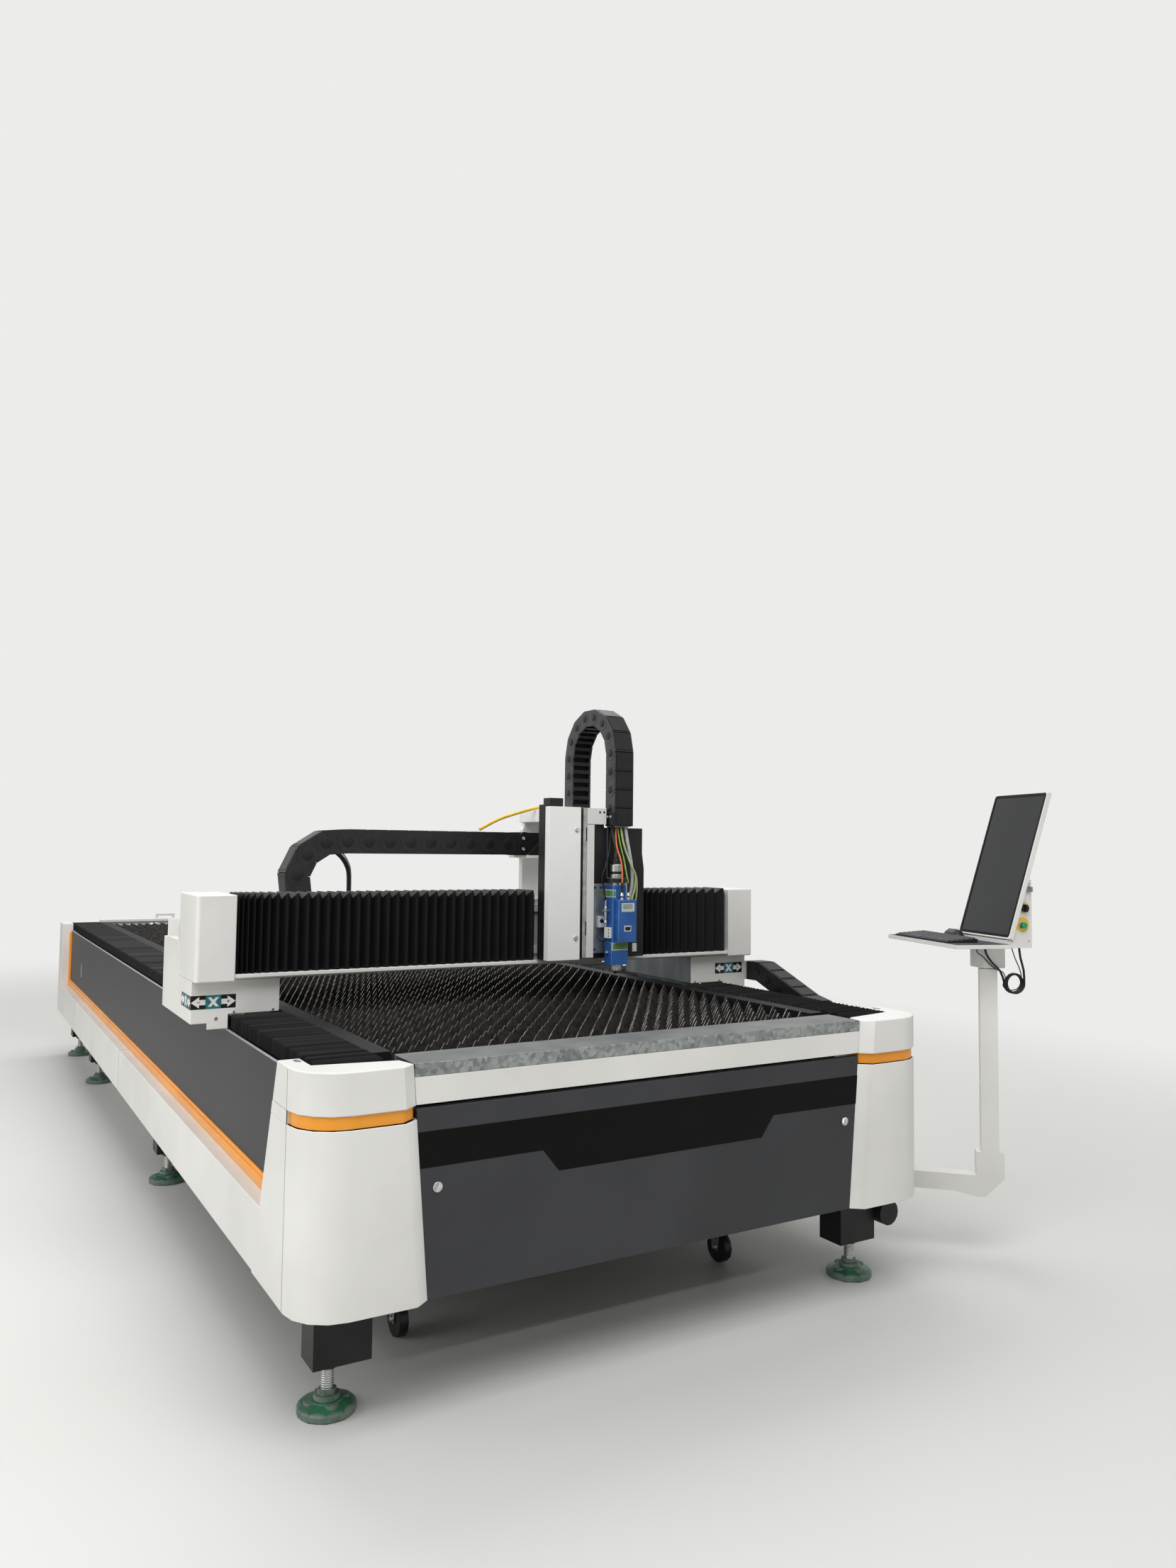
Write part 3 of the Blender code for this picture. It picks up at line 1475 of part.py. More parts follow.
def console_stand():
    """Knuckle, square arm, mitred elbow and post, in one welded piece."""
    reach = Vector((POST_X - PIVOT_X, POST_Y - PIVOT_Y, 0.0))
    length = reach.length
    heading = math.atan2(reach.y, reach.x)
    half = ARM_SECTION / 2
    low = ARM_BOTTOM
    high = ARM_BOTTOM + ARM_SECTION
    inner = length - ELBOW_HALF
    outer = length + ELBOW_HALF
    outline = [
        (0.0, low),
        (inner - ELBOW_RAMP, low),
        (inner, low - ELBOW_DROP),
        (outer - ELBOW_CUT, low - ELBOW_DROP),
        (outer, low - ELBOW_DROP + ELBOW_CUT),
        (outer, ELBOW_TOP),
        (length + half, ELBOW_TOP),
        (length + half, POST_HIGH),
        (length - half, POST_HIGH),
        (length - half, ELBOW_TOP),
        (inner, ELBOW_TOP),
        (inner, high),
        (0.0, high),
    ]
    arm = prism(outline, "Y", -half, half)
    knuckle = turned([(KNUCKLE_RADIUS, low), (KNUCKLE_RADIUS, high)], 16)
    hole = bore_radius(PIN_RADIUS, 12)
    bore = turned([(hole, low - SHEET), (hole, high + SHEET)], 12)
    spigot = turned([(SPIGOT_RADIUS, POST_HIGH - SHEET), (SPIGOT_RADIUS, SPIGOT_HIGH)], 12)
    moved(spigot, (length, 0.0, 0.0))
    stand = cut(union(arm, knuckle, spigot), bore)
    turn = Matrix.Translation((PIVOT_X, PIVOT_Y, 0.0)) @ Matrix.Rotation(heading, 4, "Z")
    return transformed(stand, turn)


def console_place():
    """From the console's own axes, with the user on -Y, to the machine's."""
    return (
        Matrix.Translation((POST_X, POST_Y, 0.0))
        @ Matrix.Rotation(math.radians(CONSOLE_YAW), 4, "Z")
    )


def build_console_head(machine):
    turn = console_place()

    def put(name, shape, finish, body="console"):
        machine.place(name, transformed(shape, turn), finish, body)

    tilt = math.radians(SCREEN_TILT)
    foot_y, foot_z = SCREEN_FOOT
    up = (math.sin(tilt), math.cos(tilt))
    back_y = foot_y + SCREEN_THICK * math.cos(tilt)
    back_z = foot_z - SCREEN_THICK * math.sin(tilt)
    rise = (CASE_HIGH - back_z) * math.tan(tilt)
    clear = 2 * GAP
    outline = [
        (foot_y, SLEEVE_HIGH),
        (CASE_REAR, SLEEVE_HIGH),
        (CASE_REAR, CASE_HIGH),
        (back_y + rise + clear, CASE_HIGH),
        (back_y + clear, back_z - clear),
        (foot_y, back_z - clear),
    ]
    case = prism(outline, "X", -CASE_HALF, CASE_HALF)
    sleeve = block(
        -SLEEVE_HALF, SLEEVE_HALF, -SLEEVE_HALF, SLEEVE_HALF, SLEEVE_LOW, SLEEVE_HIGH - GAP
    )
    tenon = block(
        -SLEEVE_HALF + SHEET, SLEEVE_HALF - SHEET, foot_y + SHEET, SLEEVE_HALF - SHEET,
        SLEEVE_HIGH - SHEET, SLEEVE_HIGH + SHEET,
    )
    hole = bore_radius(SPIGOT_RADIUS, 12)
    bore = turned([(hole, SLEEVE_LOW - SHEET), (hole, SPIGOT_HIGH + GAP)], 12)
    well = bore_radius(BUTTON_STEM, 12)
    deep = CASE_HALF - 2 * STEM_BACK
    wells = [
        prism(circle(well, 12, place), "X", deep, CASE_HALF + SHEET)
        for place in (START_PLACE, SELECTOR_PLACE, KEY_PLACE)
    ]
    put("console_case", cut(union(case, sleeve, tenon), bore, *wells), white())
    put("monitor", monitor(), charcoal())
    table = block(TABLE_LEFT, TABLE_RIGHT, TABLE_FRONT, foot_y - GAP, SLEEVE_HIGH, CASE_LOW)
    put("keyboard_table", table, white())
    keys_low = CASE_LOW + GAP
    keys = [
        (KEYS_FRONT, keys_low),
        (KEYS_BACK, keys_low),
        (KEYS_BACK, keys_low + KEYS_TALL),
        (KEYS_FRONT, keys_low + KEYS_TALL * 0.5),
    ]
    put("keyboard", prism(keys, "X", KEYS_LEFT, KEYS_RIGHT), plastic())
    put("mouse", mouse(keys_low), plastic())
    put("console_cables", cord(lead_route(), LEAD_RADIUS, 5), plastic())
    build_controls(machine, turn)


def monitor():
    """Portrait screen with a raised frame, tilted back on the case."""
    half = SCREEN_WIDTH / 2
    face = block(-half, half, 0.0, SCREEN_THICK, 0.0, SCREEN_HEIGHT)
    glass = block(
        -half + SCREEN_FRAME,
        half - SCREEN_FRAME,
        -SHEET,
        SCREEN_RECESS,
        SCREEN_FRAME,
        SCREEN_HEIGHT - SCREEN_FRAME,
    )
    screen = cut(face, glass)
    foot_y, foot_z = SCREEN_FOOT
    lean = Matrix.Rotation(math.radians(-SCREEN_TILT), 4, "X")
    return transformed(screen, Matrix.Translation((0.0, foot_y, foot_z)) @ lean)


def lead_route():
    """Leads from under the table into a hanging coil beside the post and up into the case."""
    start = 170
    turns = 910
    steps = turns // 45
    route = [Vector(point) for point in LEAD_DOWN]
    for step in range(steps + 1):
        share = step / steps
        angle = math.radians(start + turns * share)
        x = COIL_LEFT + COIL_PITCH * turns / 360 * share
        y = COIL_MIDDLE[0] + COIL_RADIUS * math.cos(angle)
        z = COIL_MIDDLE[1] + COIL_RADIUS * math.sin(angle)
        route.append(Vector((x, y, z)))
    return route + [Vector(point) for point in LEAD_UP]


def mouse(floor):
    """Low rounded body, longer than wide."""
    rings = []
    for height, share in ((0.0, 0.94), (0.35, 1.0), (0.75, 0.82), (1.0, 0.42)):
        ring = []
        for x, y in circle(1.0, 10):
            ring.append(Vector((
                MOUSE_X + x * share * MOUSE_LENGTH / 2,
                MOUSE_Y + y * share * MOUSE_WIDTH / 2,
                floor + height * MOUSE_TALL,
            )))
        rings.append(ring)
    return loft(rings)


def build_controls(machine, turn):
    """Start button, selector and key switch on the right of the case."""
    stem = [(BUTTON_STEM, -STEM_BACK)]
    start = stem + [
        (BUTTON_STEM, START_NECK),
        (START_RADIUS, START_NECK + GAP),
        (START_RADIUS, START_PROUD),
    ]
    selector = stem + [
        (BUTTON_STEM, GAP),
        (SELECTOR_RADIUS, 2 * GAP),
        (SELECTOR_RADIUS, SELECTOR_PROUD),
    ]
    switch = stem + [(BUTTON_STEM, GAP), (KEY_RADIUS, 2 * GAP), (KEY_RADIUS, KEY_PROUD)]
    grip = block(
        -GRIP_HALF, GRIP_HALF, -GRIP_THICK / 2, GRIP_THICK / 2, SELECTOR_PROUD / 2, GRIP_PROUD
    )
    key = block(-KEY_HALF, KEY_HALF, -KEY_THICK / 2, KEY_THICK / 2, KEY_PROUD / 2, KEY_REACH)
    shapes = (
        ("start_button", START_PLACE, turned(start, 12), blue()),
        ("selector_knob", SELECTOR_PLACE, union(turned(selector, 12), grip), plastic()),
        ("key_switch", KEY_PLACE, union(turned(switch, 12), key), plastic()),
    )
    for name, place, knob, finish in shapes:
        transformed(knob, Matrix.Rotation(math.radians(90), 4, "Y"))
        spot = Vector((CASE_HALF, place[0], place[1]))
        moved(knob, spot)
        centre = turn @ spot
        machine.body(name + "_body", "console", centre)
        machine.place(name, transformed(knob, turn), finish, name + "_body")


def main():
    remove_old_objects()
    machine = Machine()
    build_frame(machine)
    build_slats(machine)
    for side in ("left", "right"):
        build_corner(machine, side)
    build_front(machine)
    build_sides(machine)
    build_rear(machine)
    build_bed_bellows(machine)
    build_bed_chain(machine)
    build_cart(machine)
    build_gantry(machine)
    build_carriage(machine)
    build_head(machine)
    build_console(machine)
    machine.centre_on_floor()


main()
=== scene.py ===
"""Finished look of the flatbed fibre laser cutting machine.

Shapes are worked out in the machine's own axes: X to the right along the short front end,
Y back along the bed, Z up, with the front door in the plane y = 0. ROW moves them to where
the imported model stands. A shape is a pair of vertex rows and faces, and a part is a pair of a
shape and its finish.
"""

import json
import math

import bmesh
import bpy
import numpy as np
from mathutils import Matrix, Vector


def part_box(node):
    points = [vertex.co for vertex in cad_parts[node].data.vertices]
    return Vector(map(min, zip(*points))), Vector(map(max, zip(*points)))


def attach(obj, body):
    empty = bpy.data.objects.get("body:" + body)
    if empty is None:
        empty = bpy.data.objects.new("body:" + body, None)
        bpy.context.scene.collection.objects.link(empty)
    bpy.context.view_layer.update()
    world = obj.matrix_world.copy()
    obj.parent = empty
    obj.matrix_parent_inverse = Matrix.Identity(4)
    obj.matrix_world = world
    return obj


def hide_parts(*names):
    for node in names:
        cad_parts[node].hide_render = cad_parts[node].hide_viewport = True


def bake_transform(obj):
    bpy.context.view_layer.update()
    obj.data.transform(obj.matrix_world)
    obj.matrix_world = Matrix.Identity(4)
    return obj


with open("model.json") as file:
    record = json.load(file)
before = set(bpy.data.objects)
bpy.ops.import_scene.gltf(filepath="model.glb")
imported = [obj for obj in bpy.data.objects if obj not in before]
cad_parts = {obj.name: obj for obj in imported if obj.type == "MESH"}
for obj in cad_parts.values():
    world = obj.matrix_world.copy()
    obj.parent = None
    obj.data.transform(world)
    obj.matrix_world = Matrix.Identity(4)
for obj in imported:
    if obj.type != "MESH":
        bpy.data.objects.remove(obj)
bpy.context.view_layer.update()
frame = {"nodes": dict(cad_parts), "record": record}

door_low, door_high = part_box("front_door")
ROW = np.array([(door_low.x + door_high.x) / 2, door_low.y, 0.0])
NODE_BODY = {
    held: body for body, nodes in frame["record"]["behaviour"]["bodies"].items() for held in nodes
}

RIGHT, LEFT, UP = (1, 0, 0), (-1, 0, 0), (0, 0, 1)
BACK, FRONT = (0, 1, 0), (0, -1, 0)
# Along no cord or axis here, so that a cross product with it never vanishes.
ASKEW = (0.31, 0.94, 0.13)
# The two axes of a flat outline and the one that it is carried along.
AXES = {"X": (1, 2, 0), "Y": (0, 2, 1), "Z": (0, 1, 2)}

# Distances in m at which vertices count as one: in shapes made here and in source pieces.
WELD, SOURCE_WELD = 1e-6, 2e-5
# Angles in degrees: an edge is drawn sharp, gets a bevel, or is flat enough to dissolve.
SHARP, BEVELLED, FLAT = 35, 40, 0.5
# The same for a cord, the mouse and the orange bands, which are rounder, and for folded cloth.
SHARP_CORD, SHARP_MOUSE, SHARP_BAND, SHARP_FOLD = 70, 60, 50, 20
BEVEL_STEPS = 2


# Shapes


def grid_faces(rows, columns, round_rows=False):
    """Quads between neighbours of a grid whose rows are rings; the last row may join the first."""
    u, v = np.divmod(np.arange((rows if round_rows else rows - 1) * columns), columns)
    here, after = u * columns, (u + 1) % rows * columns
    beside = (v + 1) % columns
    return np.stack([here + v, here + beside, after + beside, after + v], 1).tolist()


def skinned(rings):
    """Closed skin over rings (stations, points, 3), with a flat face on each end."""
    stations, count, _ = rings.shape
    last = [(stations - 1) * count + step for step in range(count)]
    return rings.reshape(-1, 3), grid_faces(stations, count) + [list(range(count))[::-1], last]


def joined(*shapes):
    """Several shapes as one."""
    vertices, faces, start = [], [], 0
    for points, polygons in shapes:
        vertices.append(np.asarray(points, float))
        faces += [[index + start for index in polygon] for polygon in polygons]
        start += len(points)
    return np.concatenate(vertices), faces


def set_along(outlines, axis, places):
    """Flat outlines as rings square to an axis, each at its own place along it."""
    outlines = np.asarray(outlines, float)
    first, second, along = AXES[axis]
    rings = np.zeros((*outlines.shape[:2], 3))
    rings[..., first], rings[..., second] = outlines[..., 0], outlines[..., 1]
    rings[..., along] = np.asarray(places, float)[:, None]
    return rings


def extruded(outline, axis, start, end):
    """Flat outline carried straight from start to end along an axis."""
    return skinned(set_along([outline, outline], axis, (start, end)))


def ring_plate(outer, inner, axis, start, end):
    """Flat ring between two outlines with the same number of points, from start to end."""
    rings = set_along([outer, outer, inner, inner], axis, (start, end, end, start))
    return rings.reshape(-1, 3), grid_faces(4, len(outer), round_rows=True)


def slab(low, high):
    """Rectangular body between two corners."""
    outline = [(low[0], low[1]), (high[0], low[1]), (high[0], high[1]), (low[0], high[1])]
    return extruded(outline, "Z", low[2], high[2])


def around(centre, radius, angle):
    """Points centre + radius (cos a, sin a)."""
    return np.stack([centre[0] + radius * np.cos(angle), centre[1] + radius * np.sin(angle)], 1)


def ring_points(radius, sides, centre=(0.0, 0.0), turn=0.0):
    """Corners of a regular polygon, the first one at the angle turn."""
    return around(centre, radius, turn + np.arange(sides) * 2 * math.pi / sides)


def arc(centre, radius, start, end, steps=24):
    """Points of an arc between two angles in degrees."""
    return around(centre, radius, np.radians(np.linspace(start, end, steps + 1)))


def rounded(low, high, radius, steps=4):
    """Rectangle with quarter circles for corners."""
    angle = np.linspace(0, math.pi / 2, steps + 1)
    left, bottom, right, top = low[0] + radius, low[1] + radius, high[0] - radius, high[1] - radius
    corners = ((right, top), (left, top), (left, bottom), (right, bottom))
    return np.concatenate([around(corner, radius, angle + k * math.pi / 2)
                           for k, corner in enumerate(corners)])


def oblong(wide, tall, centre=(0.0, 0.0)):
    """Corners of a rectangle about its centre."""
    u, v = centre
    return [(u - wide / 2, v - tall / 2), (u + wide / 2, v - tall / 2),
            (u + wide / 2, v + tall / 2), (u - wide / 2, v + tall / 2)]


def spun(profile, sides, origin, out, side=None):
    """Profile of (radius, height) revolved about the line from origin along out, closed on it.

    side is the direction of each ring's first point.
    """
    profile = np.array([(0.0, profile[0][1]), *profile, (0.0, profile[-1][1])])
    out = np.asarray(out, float) / np.linalg.norm(out)
    if side is None:
        side = np.cross(out, ASKEW)
        side /= np.linalg.norm(side)
    circle = ring_points(1.0, sides)
    ring = circle[:, :1] * side + circle[:, 1:] * np.cross(out, side)
    heights, radii = profile[:, 1, None, None], profile[:, :1, None]
    return skinned(np.asarray(origin, float) + heights * out + radii * ring)


def turned(profile, sides, x, y):
    """Profile of (radius, height above the floor) revolved about an upright axis."""
    return spun(profile, sides, (x, y, 0.0), UP, RIGHT)


def curve(points, steps):
    """Catmull-Rom curve through points: cubic of each four neighbours."""
    points = np.asarray(points, float)
    ends = np.concatenate([[2 * points[0] - points[1]], points, [2 * points[-1] - points[-2]]])
    a, b, c, d = ends[:-3, None], ends[1:-2, None], ends[2:-1, None], ends[3:, None]
    t = (np.arange(steps) / steps)[None, :, None]
    path = 0.5 * (2 * b + (c - a) * t + (2 * a - 5 * b + 4 * c - d) * t ** 2
                  + (3 * b - a - 3 * c + d) * t ** 3)
    return np.concatenate([path.reshape(-1, 3), points[-1:]])


def tube(path, radius, sides, across):
    """Round cord: each path point + radius (cos a side + sin a other), square to the path."""
    tangent = np.gradient(path, axis=0)
    tangent /= np.linalg.norm(tangent, axis=1, keepdims=True)
    side = np.cross(tangent, np.asarray(across, float))
    side /= np.linalg.norm(side, axis=1, keepdims=True)
    circle = ring_points(1.0, sides)
    ring = circle[:, :1] * side[:, None] + circle[:, 1:] * np.cross(tangent, side)[:, None]
    return skinned(path[:, None] + radius * ring)


def patch(outline, origin, across, up, low, high):
    """Coat on a face, from low to high over it: outline points at origin + u across + v up."""
    across, up, outline = (np.asarray(each, float) for each in (across, up, outline))
    flat = np.asarray(origin, float) + outline[:, :1] * across + outline[:, 1:] * up
    out = np.cross(across, up)
    return skinned(np.stack([flat + low * out, flat + high * out]))


def screw(origin, out, radius, tall):
    """Round head with a socket: a turned profile that steps down inside half its radius."""
    profile = [(radius, -0.001), (radius, tall * 0.6), (radius * 0.8, tall), (radius * 0.5, tall),
               (radius * 0.45, tall * 0.3)]
    return spun(profile, 12, origin, out)


def screws(places, out, radius, tall, finish):
    """Parts: a screw at each place."""
    return [(screw(place, out, radius, tall), finish) for place in places]


def both_sides(*parts):
    """The parts and their mirror images on the other side of x = 0."""
    return [*parts, *[((points * (-1.0, 1.0, 1.0), faces), finish)
                      for (points, faces), finish in parts]]


def placed(parts, matrix):
    """The parts turned and moved by a 4 x 4 matrix."""
    matrix = np.array(matrix)
    return [((points @ matrix[:3, :3].T + matrix[:3, 3], faces), finish)
            for (points, faces), finish in parts]


def mm(*points):
    """Points given in mm, in m."""
    return np.array(points, float) / 1000


# Pieces


def linked(name, data):
    """New object in the scene."""
    made = bpy.data.objects.new(name, data)
    bpy.context.collection.objects.link(made)
    return made


def new_mesh(name, shape, finishes, slots):
    """Object with a shape in machine axes, its finishes and the finish number of each face."""
    mesh = bpy.data.meshes.new(name)
    mesh.from_pydata((shape[0] + ROW).tolist(), [], shape[1])
    for finish in finishes:
        mesh.materials.append(finish)
    mesh.polygons.foreach_set("material_index", slots.astype(np.int32))
    return linked(name, mesh)


def cleaned(mesh, weld, source=False):
    """Weld a mesh; dissolve flat edges of a source piece, turn faces of a new one outwards."""
    work = bmesh.new()
    work.from_mesh(mesh)
    if weld:
        bmesh.ops.remove_doubles(work, verts=work.verts, dist=weld)
    if source:
        bmesh.ops.dissolve_limit(work, angle_limit=math.radians(FLAT), verts=work.verts,
                                 edges=work.edges)
    else:
        bmesh.ops.recalc_face_normals(work, faces=work.faces)
    work.to_mesh(mesh)
    work.free()


def shaded(made, bevel=0.0, smooth=SHARP):
    """Smooth shading up to an angle, and a bevel of this width on the edges."""
    made.data.shade_smooth()
    made.data.set_sharp_from_angle(angle=math.radians(smooth))
    if bevel:
        edge = made.modifiers.new("edge", "BEVEL")
        edge.width = bevel
        edge.segments = BEVEL_STEPS
        edge.limit_method = "ANGLE"
        edge.angle_limit = math.radians(BEVELLED)
        made.modifiers.new("shade", "WEIGHTED_NORMAL").keep_sharp = True


def piece(name, body, parts, bevel=0.0, stands_for=(), smooth=SHARP):
    """Object made of parts, riding on a body and standing for source nodes, where stated."""
    finishes = list(dict.fromkeys(finish for _, finish in parts))
    slots = [np.full(len(shape[1]), finishes.index(finish)) for shape, finish in parts]
    made = new_mesh(name, joined(*[shape for shape, _ in parts]), finishes, np.concatenate(slots))
    cleaned(made.data, WELD)
    shaded(made, bevel, smooth)
    if body:
        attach(made, body)
    if stands_for:
        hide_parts(*stands_for)
    return made


def softened(node, finish, bevel):
    """A welded copy of a source piece with its sharp edges softened."""
    made = linked(node + "_sheet", frame["nodes"][node].data.copy())
    made.data.materials.clear()
    made.data.materials.append(finish)
    made.data.polygons.foreach_set("material_index", np.zeros(len(made.data.polygons), np.int32))
    cleaned(made.data, SOURCE_WELD, source=True)
    shaded(made, bevel)
    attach(made, NODE_BODY[node])
    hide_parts(node)
    return made


def repaint(made, finish, chosen):
    """Another finish on the faces that chosen(centres, normals) picks, in machine axes."""
    faces = made.data.polygons
    centre, normal = np.zeros(len(faces) * 3), np.zeros(len(faces) * 3)
    slots = np.zeros(len(faces), np.int32)
    faces.foreach_get("center", centre)
    faces.foreach_get("normal", normal)
    faces.foreach_get("material_index", slots)
    made.data.materials.append(finish)
    slots[chosen(centre.reshape(-1, 3) - ROW, normal.reshape(-1, 3))] = len(made.data.materials) - 1
    faces.foreach_set("material_index", slots)


def hose(name, body, points, diameter, finish, stiffness="medium", lay="hanging", stands_for=(),
         across=ASKEW, steps=6, sides=12):
    """A round cord along a smooth curve through its points."""
    path = curve(points, steps)
    made = piece(name, body, [(tube(path, diameter / 2, sides, across), finish)],
                 stands_for=stands_for, smooth=SHARP_CORD)


# Materials


def linear(code):
    """sRGB hex colour as linear light."""
    parts = [int(code[at:at + 2], 16) / 255 for at in (1, 3, 5)]
    return *(c / 12.92 if c <= 0.04045 else ((c + 0.055) / 1.055) ** 2.4 for c in parts), 1.0


def add(tree, kind, inputs=None, **settings):
    """Add one node; inputs holds values, or sockets to link from."""
    made = tree.nodes.new(kind)
    for name, value in settings.items():
        setattr(made, name, value)
    for name, value in (inputs or {}).items():
        if isinstance(value, bpy.types.NodeSocket):
            tree.links.new(value, made.inputs[name])
        else:
            made.inputs[name].default_value = value
    return made


def worked(tree, operation, first, second, **settings):
    """Result of a sum on two values or sockets."""
    made = add(tree, "ShaderNodeMath", {0: first, 1: second}, operation=operation, **settings)
    return made.outputs[0]


def noise(tree, place, scale, detail):
    """Soft noise from 0 to 1 with this many cells per metre."""
    made = add(tree, "ShaderNodeTexNoise", {"Vector": place, "Scale": scale, "Detail": detail})
    return made.outputs["Fac"]


def ramped(tree, factor, dark, light, spread=(0.0, 1.0)):
    """Colour from dark to light as the factor crosses the spread."""
    ramp = add(tree, "ShaderNodeValToRGB", {"Fac": factor})
    for end, place, tone in zip(ramp.color_ramp.elements, spread, (dark, light)):
        end.position, end.color = place, linear(tone)
    return ramp.outputs["Color"]


def raised(tree, shader, height, strength):
    """Relief of up to 1 mm."""
    bump = add(tree, "ShaderNodeBump", {"Height": height, "Strength": strength, "Distance": 0.001})
    tree.links.new(bump.outputs["Normal"], shader.inputs["Normal"])


def crystals(tree, place, cells):
    """Random cells: the distance to the cell's middle, and a node with its random numbers."""
    cell = add(tree, "ShaderNodeTexVoronoi", {"Vector": place, "Scale": cells})
    lot = add(tree, "ShaderNodeSeparateColor", {"Color": cell.outputs["Color"]})
    return cell.outputs["Distance"], lot


def mixed(tree, share, plain, other, end):
    """Two shaders mixed by a share, as the tree's result."""
    both = add(tree, "ShaderNodeMixShader", {0: share, 1: plain.outputs[0], 2: other.outputs[0]})
    tree.links.new(both.outputs[0], tree.nodes[end].inputs["Surface"])


def surface(name, roughness, metallic=0.0, specular=0.5):
    """New material; returns it with its tree, shader and Object coordinates."""
    made = bpy.data.materials.new(name)
    made.use_nodes = True
    tree = made.node_tree
    shader = tree.nodes["Principled BSDF"]
    for socket, value in (("Roughness", roughness), ("Metallic", metallic),
                          ("Specular IOR Level", specular)):
        shader.inputs[socket].default_value = value
    return made, tree, shader, add(tree, "ShaderNodeTexCoord").outputs["Object"]


def two_tone(name, light, dark, scale, roughness, metallic=0.0, bump=None, spread=(0.35, 0.65),
             detail=4.0, stretch=(1, 1, 1), fleck=None, specular=0.5):
    """Base colour that drifts between two tones, with a fine bump.

    scale is cells per metre of the drift, and bump is (strength, cells per metre). fleck is
    (colour, cells per metre, size as a share of a cell, share of the cells that have one).
    """
    made, tree, shader, place = surface(name, roughness, metallic, specular)
    place = add(tree, "ShaderNodeMapping", {"Vector": place, "Scale": stretch}).outputs["Vector"]
    colour = ramped(tree, noise(tree, place, scale, detail), dark, light, spread)
    if fleck:
        spot, cells, size, share = fleck
        distance, lot = crystals(tree, place, cells)
        near = worked(tree, "LESS_THAN", distance, size)
        some = worked(tree, "LESS_THAN", lot.outputs["Red"], share)
        both = worked(tree, "MULTIPLY", near, some)
        colour = add(tree, "ShaderNodeMix", {0: both, 6: colour, 7: linear(spot)},
                     data_type="RGBA").outputs[2]
    tree.links.new(colour, shader.inputs["Base Color"])
    if bump:
        strength, grain = bump
        raised(tree, shader, noise(tree, place, grain, 2.0), strength)
    return made


def spangled(name, dark, light, cells, roughness, metallic):
    """Crystals of zinc: one flat grey per cell, with faint relief and a slow smear."""
    made, tree, shader, place = surface(name, roughness, metallic)
    _, lot = crystals(tree, place, cells)
    tone = worked(tree, "MULTIPLY", lot.outputs["Green"], 0.55)
    tone = worked(tree, "ADD", tone, noise(tree, place, 9.0, 3.0))
    tree.links.new(ramped(tree, tone, dark, light, (0.45, 1.0)), shader.inputs["Base Color"])
    raised(tree, shader, lot.outputs["Green"], 0.08)
    return made


# Powder-coated sheet steel: even colour, orange peel about 2 mm across, faint grey dust.
WHITE = two_tone("white_powder_coat", "#E4E3E0", "#D8D7D3", 2.5, 0.34, bump=(0.05, 420))
# The same coat painted brighter on the lifting drive's cover and chain arm: painted light, a lit
# copy of the white.
LIT_WHITE = two_tone("lit_white_powder_coat", "#F4F4F2", "#ECECEA", 2.5, 0.34, bump=(0.05, 420))
CHARCOAL = two_tone("charcoal_powder_coat", "#37383B", "#303134", 3.0, 0.36, bump=(0.05, 420),
                    specular=0.35)
MOTIF = two_tone("black_satin_enamel", "#090909", "#050505", 4.0, 0.36, bump=(0.03, 300),
                 specular=0.12)
GREY = two_tone("grey_powder_coat", "#242529", "#1F2024", 1.6, 0.42, bump=(0.04, 420),
                stretch=(1, 1, 0.25), specular=0.22)
ORANGE = two_tone("orange_powder_coat", "#F2A02C", "#E69223", 3.0, 0.30, bump=(0.04, 420))
# Black painted frame steel: slightly rough, dusty in patches.
BLACK = two_tone("black_frame_paint", "#1D1D1E", "#101011", 6.0, 0.45, bump=(0.10, 300),
                 specular=0.3)
# Hot-rolled strip beside the slats: dark grey, scuffed along its length.
STRIP = two_tone("dark_scuffed_steel", "#171718", "#0E0E0F", 7.0, 0.60, bump=(0.12, 200),
                 stretch=(1, 0.15, 1), fleck=("#4A4A48", 60, 0.08, 0.08), specular=0.15)
# Coated bellows cloth: dull black with a soft sheen and pale dust on the folds.
BELLOWS = two_tone("bellows_cloth", "#0F0F10", "#070708", 9.0, 0.55, bump=(0.15, 900),
                   spread=(0.30, 0.75), fleck=("#6C6A66", 70, 0.045, 0.08), specular=0.22)
# The same cloth where dust settles, on the tops of the folds.
DUSTY = two_tone("dusty_bellows_cloth", "#454546", "#2A2A2B", 30.0, 0.70, bump=(0.15, 900),
                 spread=(0.30, 0.75), specular=0.3)
# Moulded glass-filled nylon of chain links: black, faint mottling.
NYLON = two_tone("chain_nylon", "#1E1E20", "#151517", 30.0, 0.40, bump=(0.03, 700), specular=0.40)
# The lifting chain's side plates are painted paler grey: painted light for their lit side.
LIT_NYLON = two_tone("lit_side_chain_nylon", "#3A3A3D", "#2E2E31", 30.0, 0.45, bump=(0.03, 700))
CORE = two_tone("black_cable_bundle", "#0A0A0A", "#050505", 30.0, 0.6, specular=0.2)
# Hot-dip galvanised sheet: crystals 10 to 20 mm across in several greys.
ZINC = spangled("galvanised_sheet", "#777B7A", "#A3A7A6", 75, 0.44, 0.55)
# The strip's trodden top: the same zinc, dulled to an even mottled grey.
ZINC_TOP = two_tone("dulled_zinc", "#6C6F6E", "#585B5A", 9.0, 0.48, 0.30, bump=(0.08, 260),
                    detail=6.0)
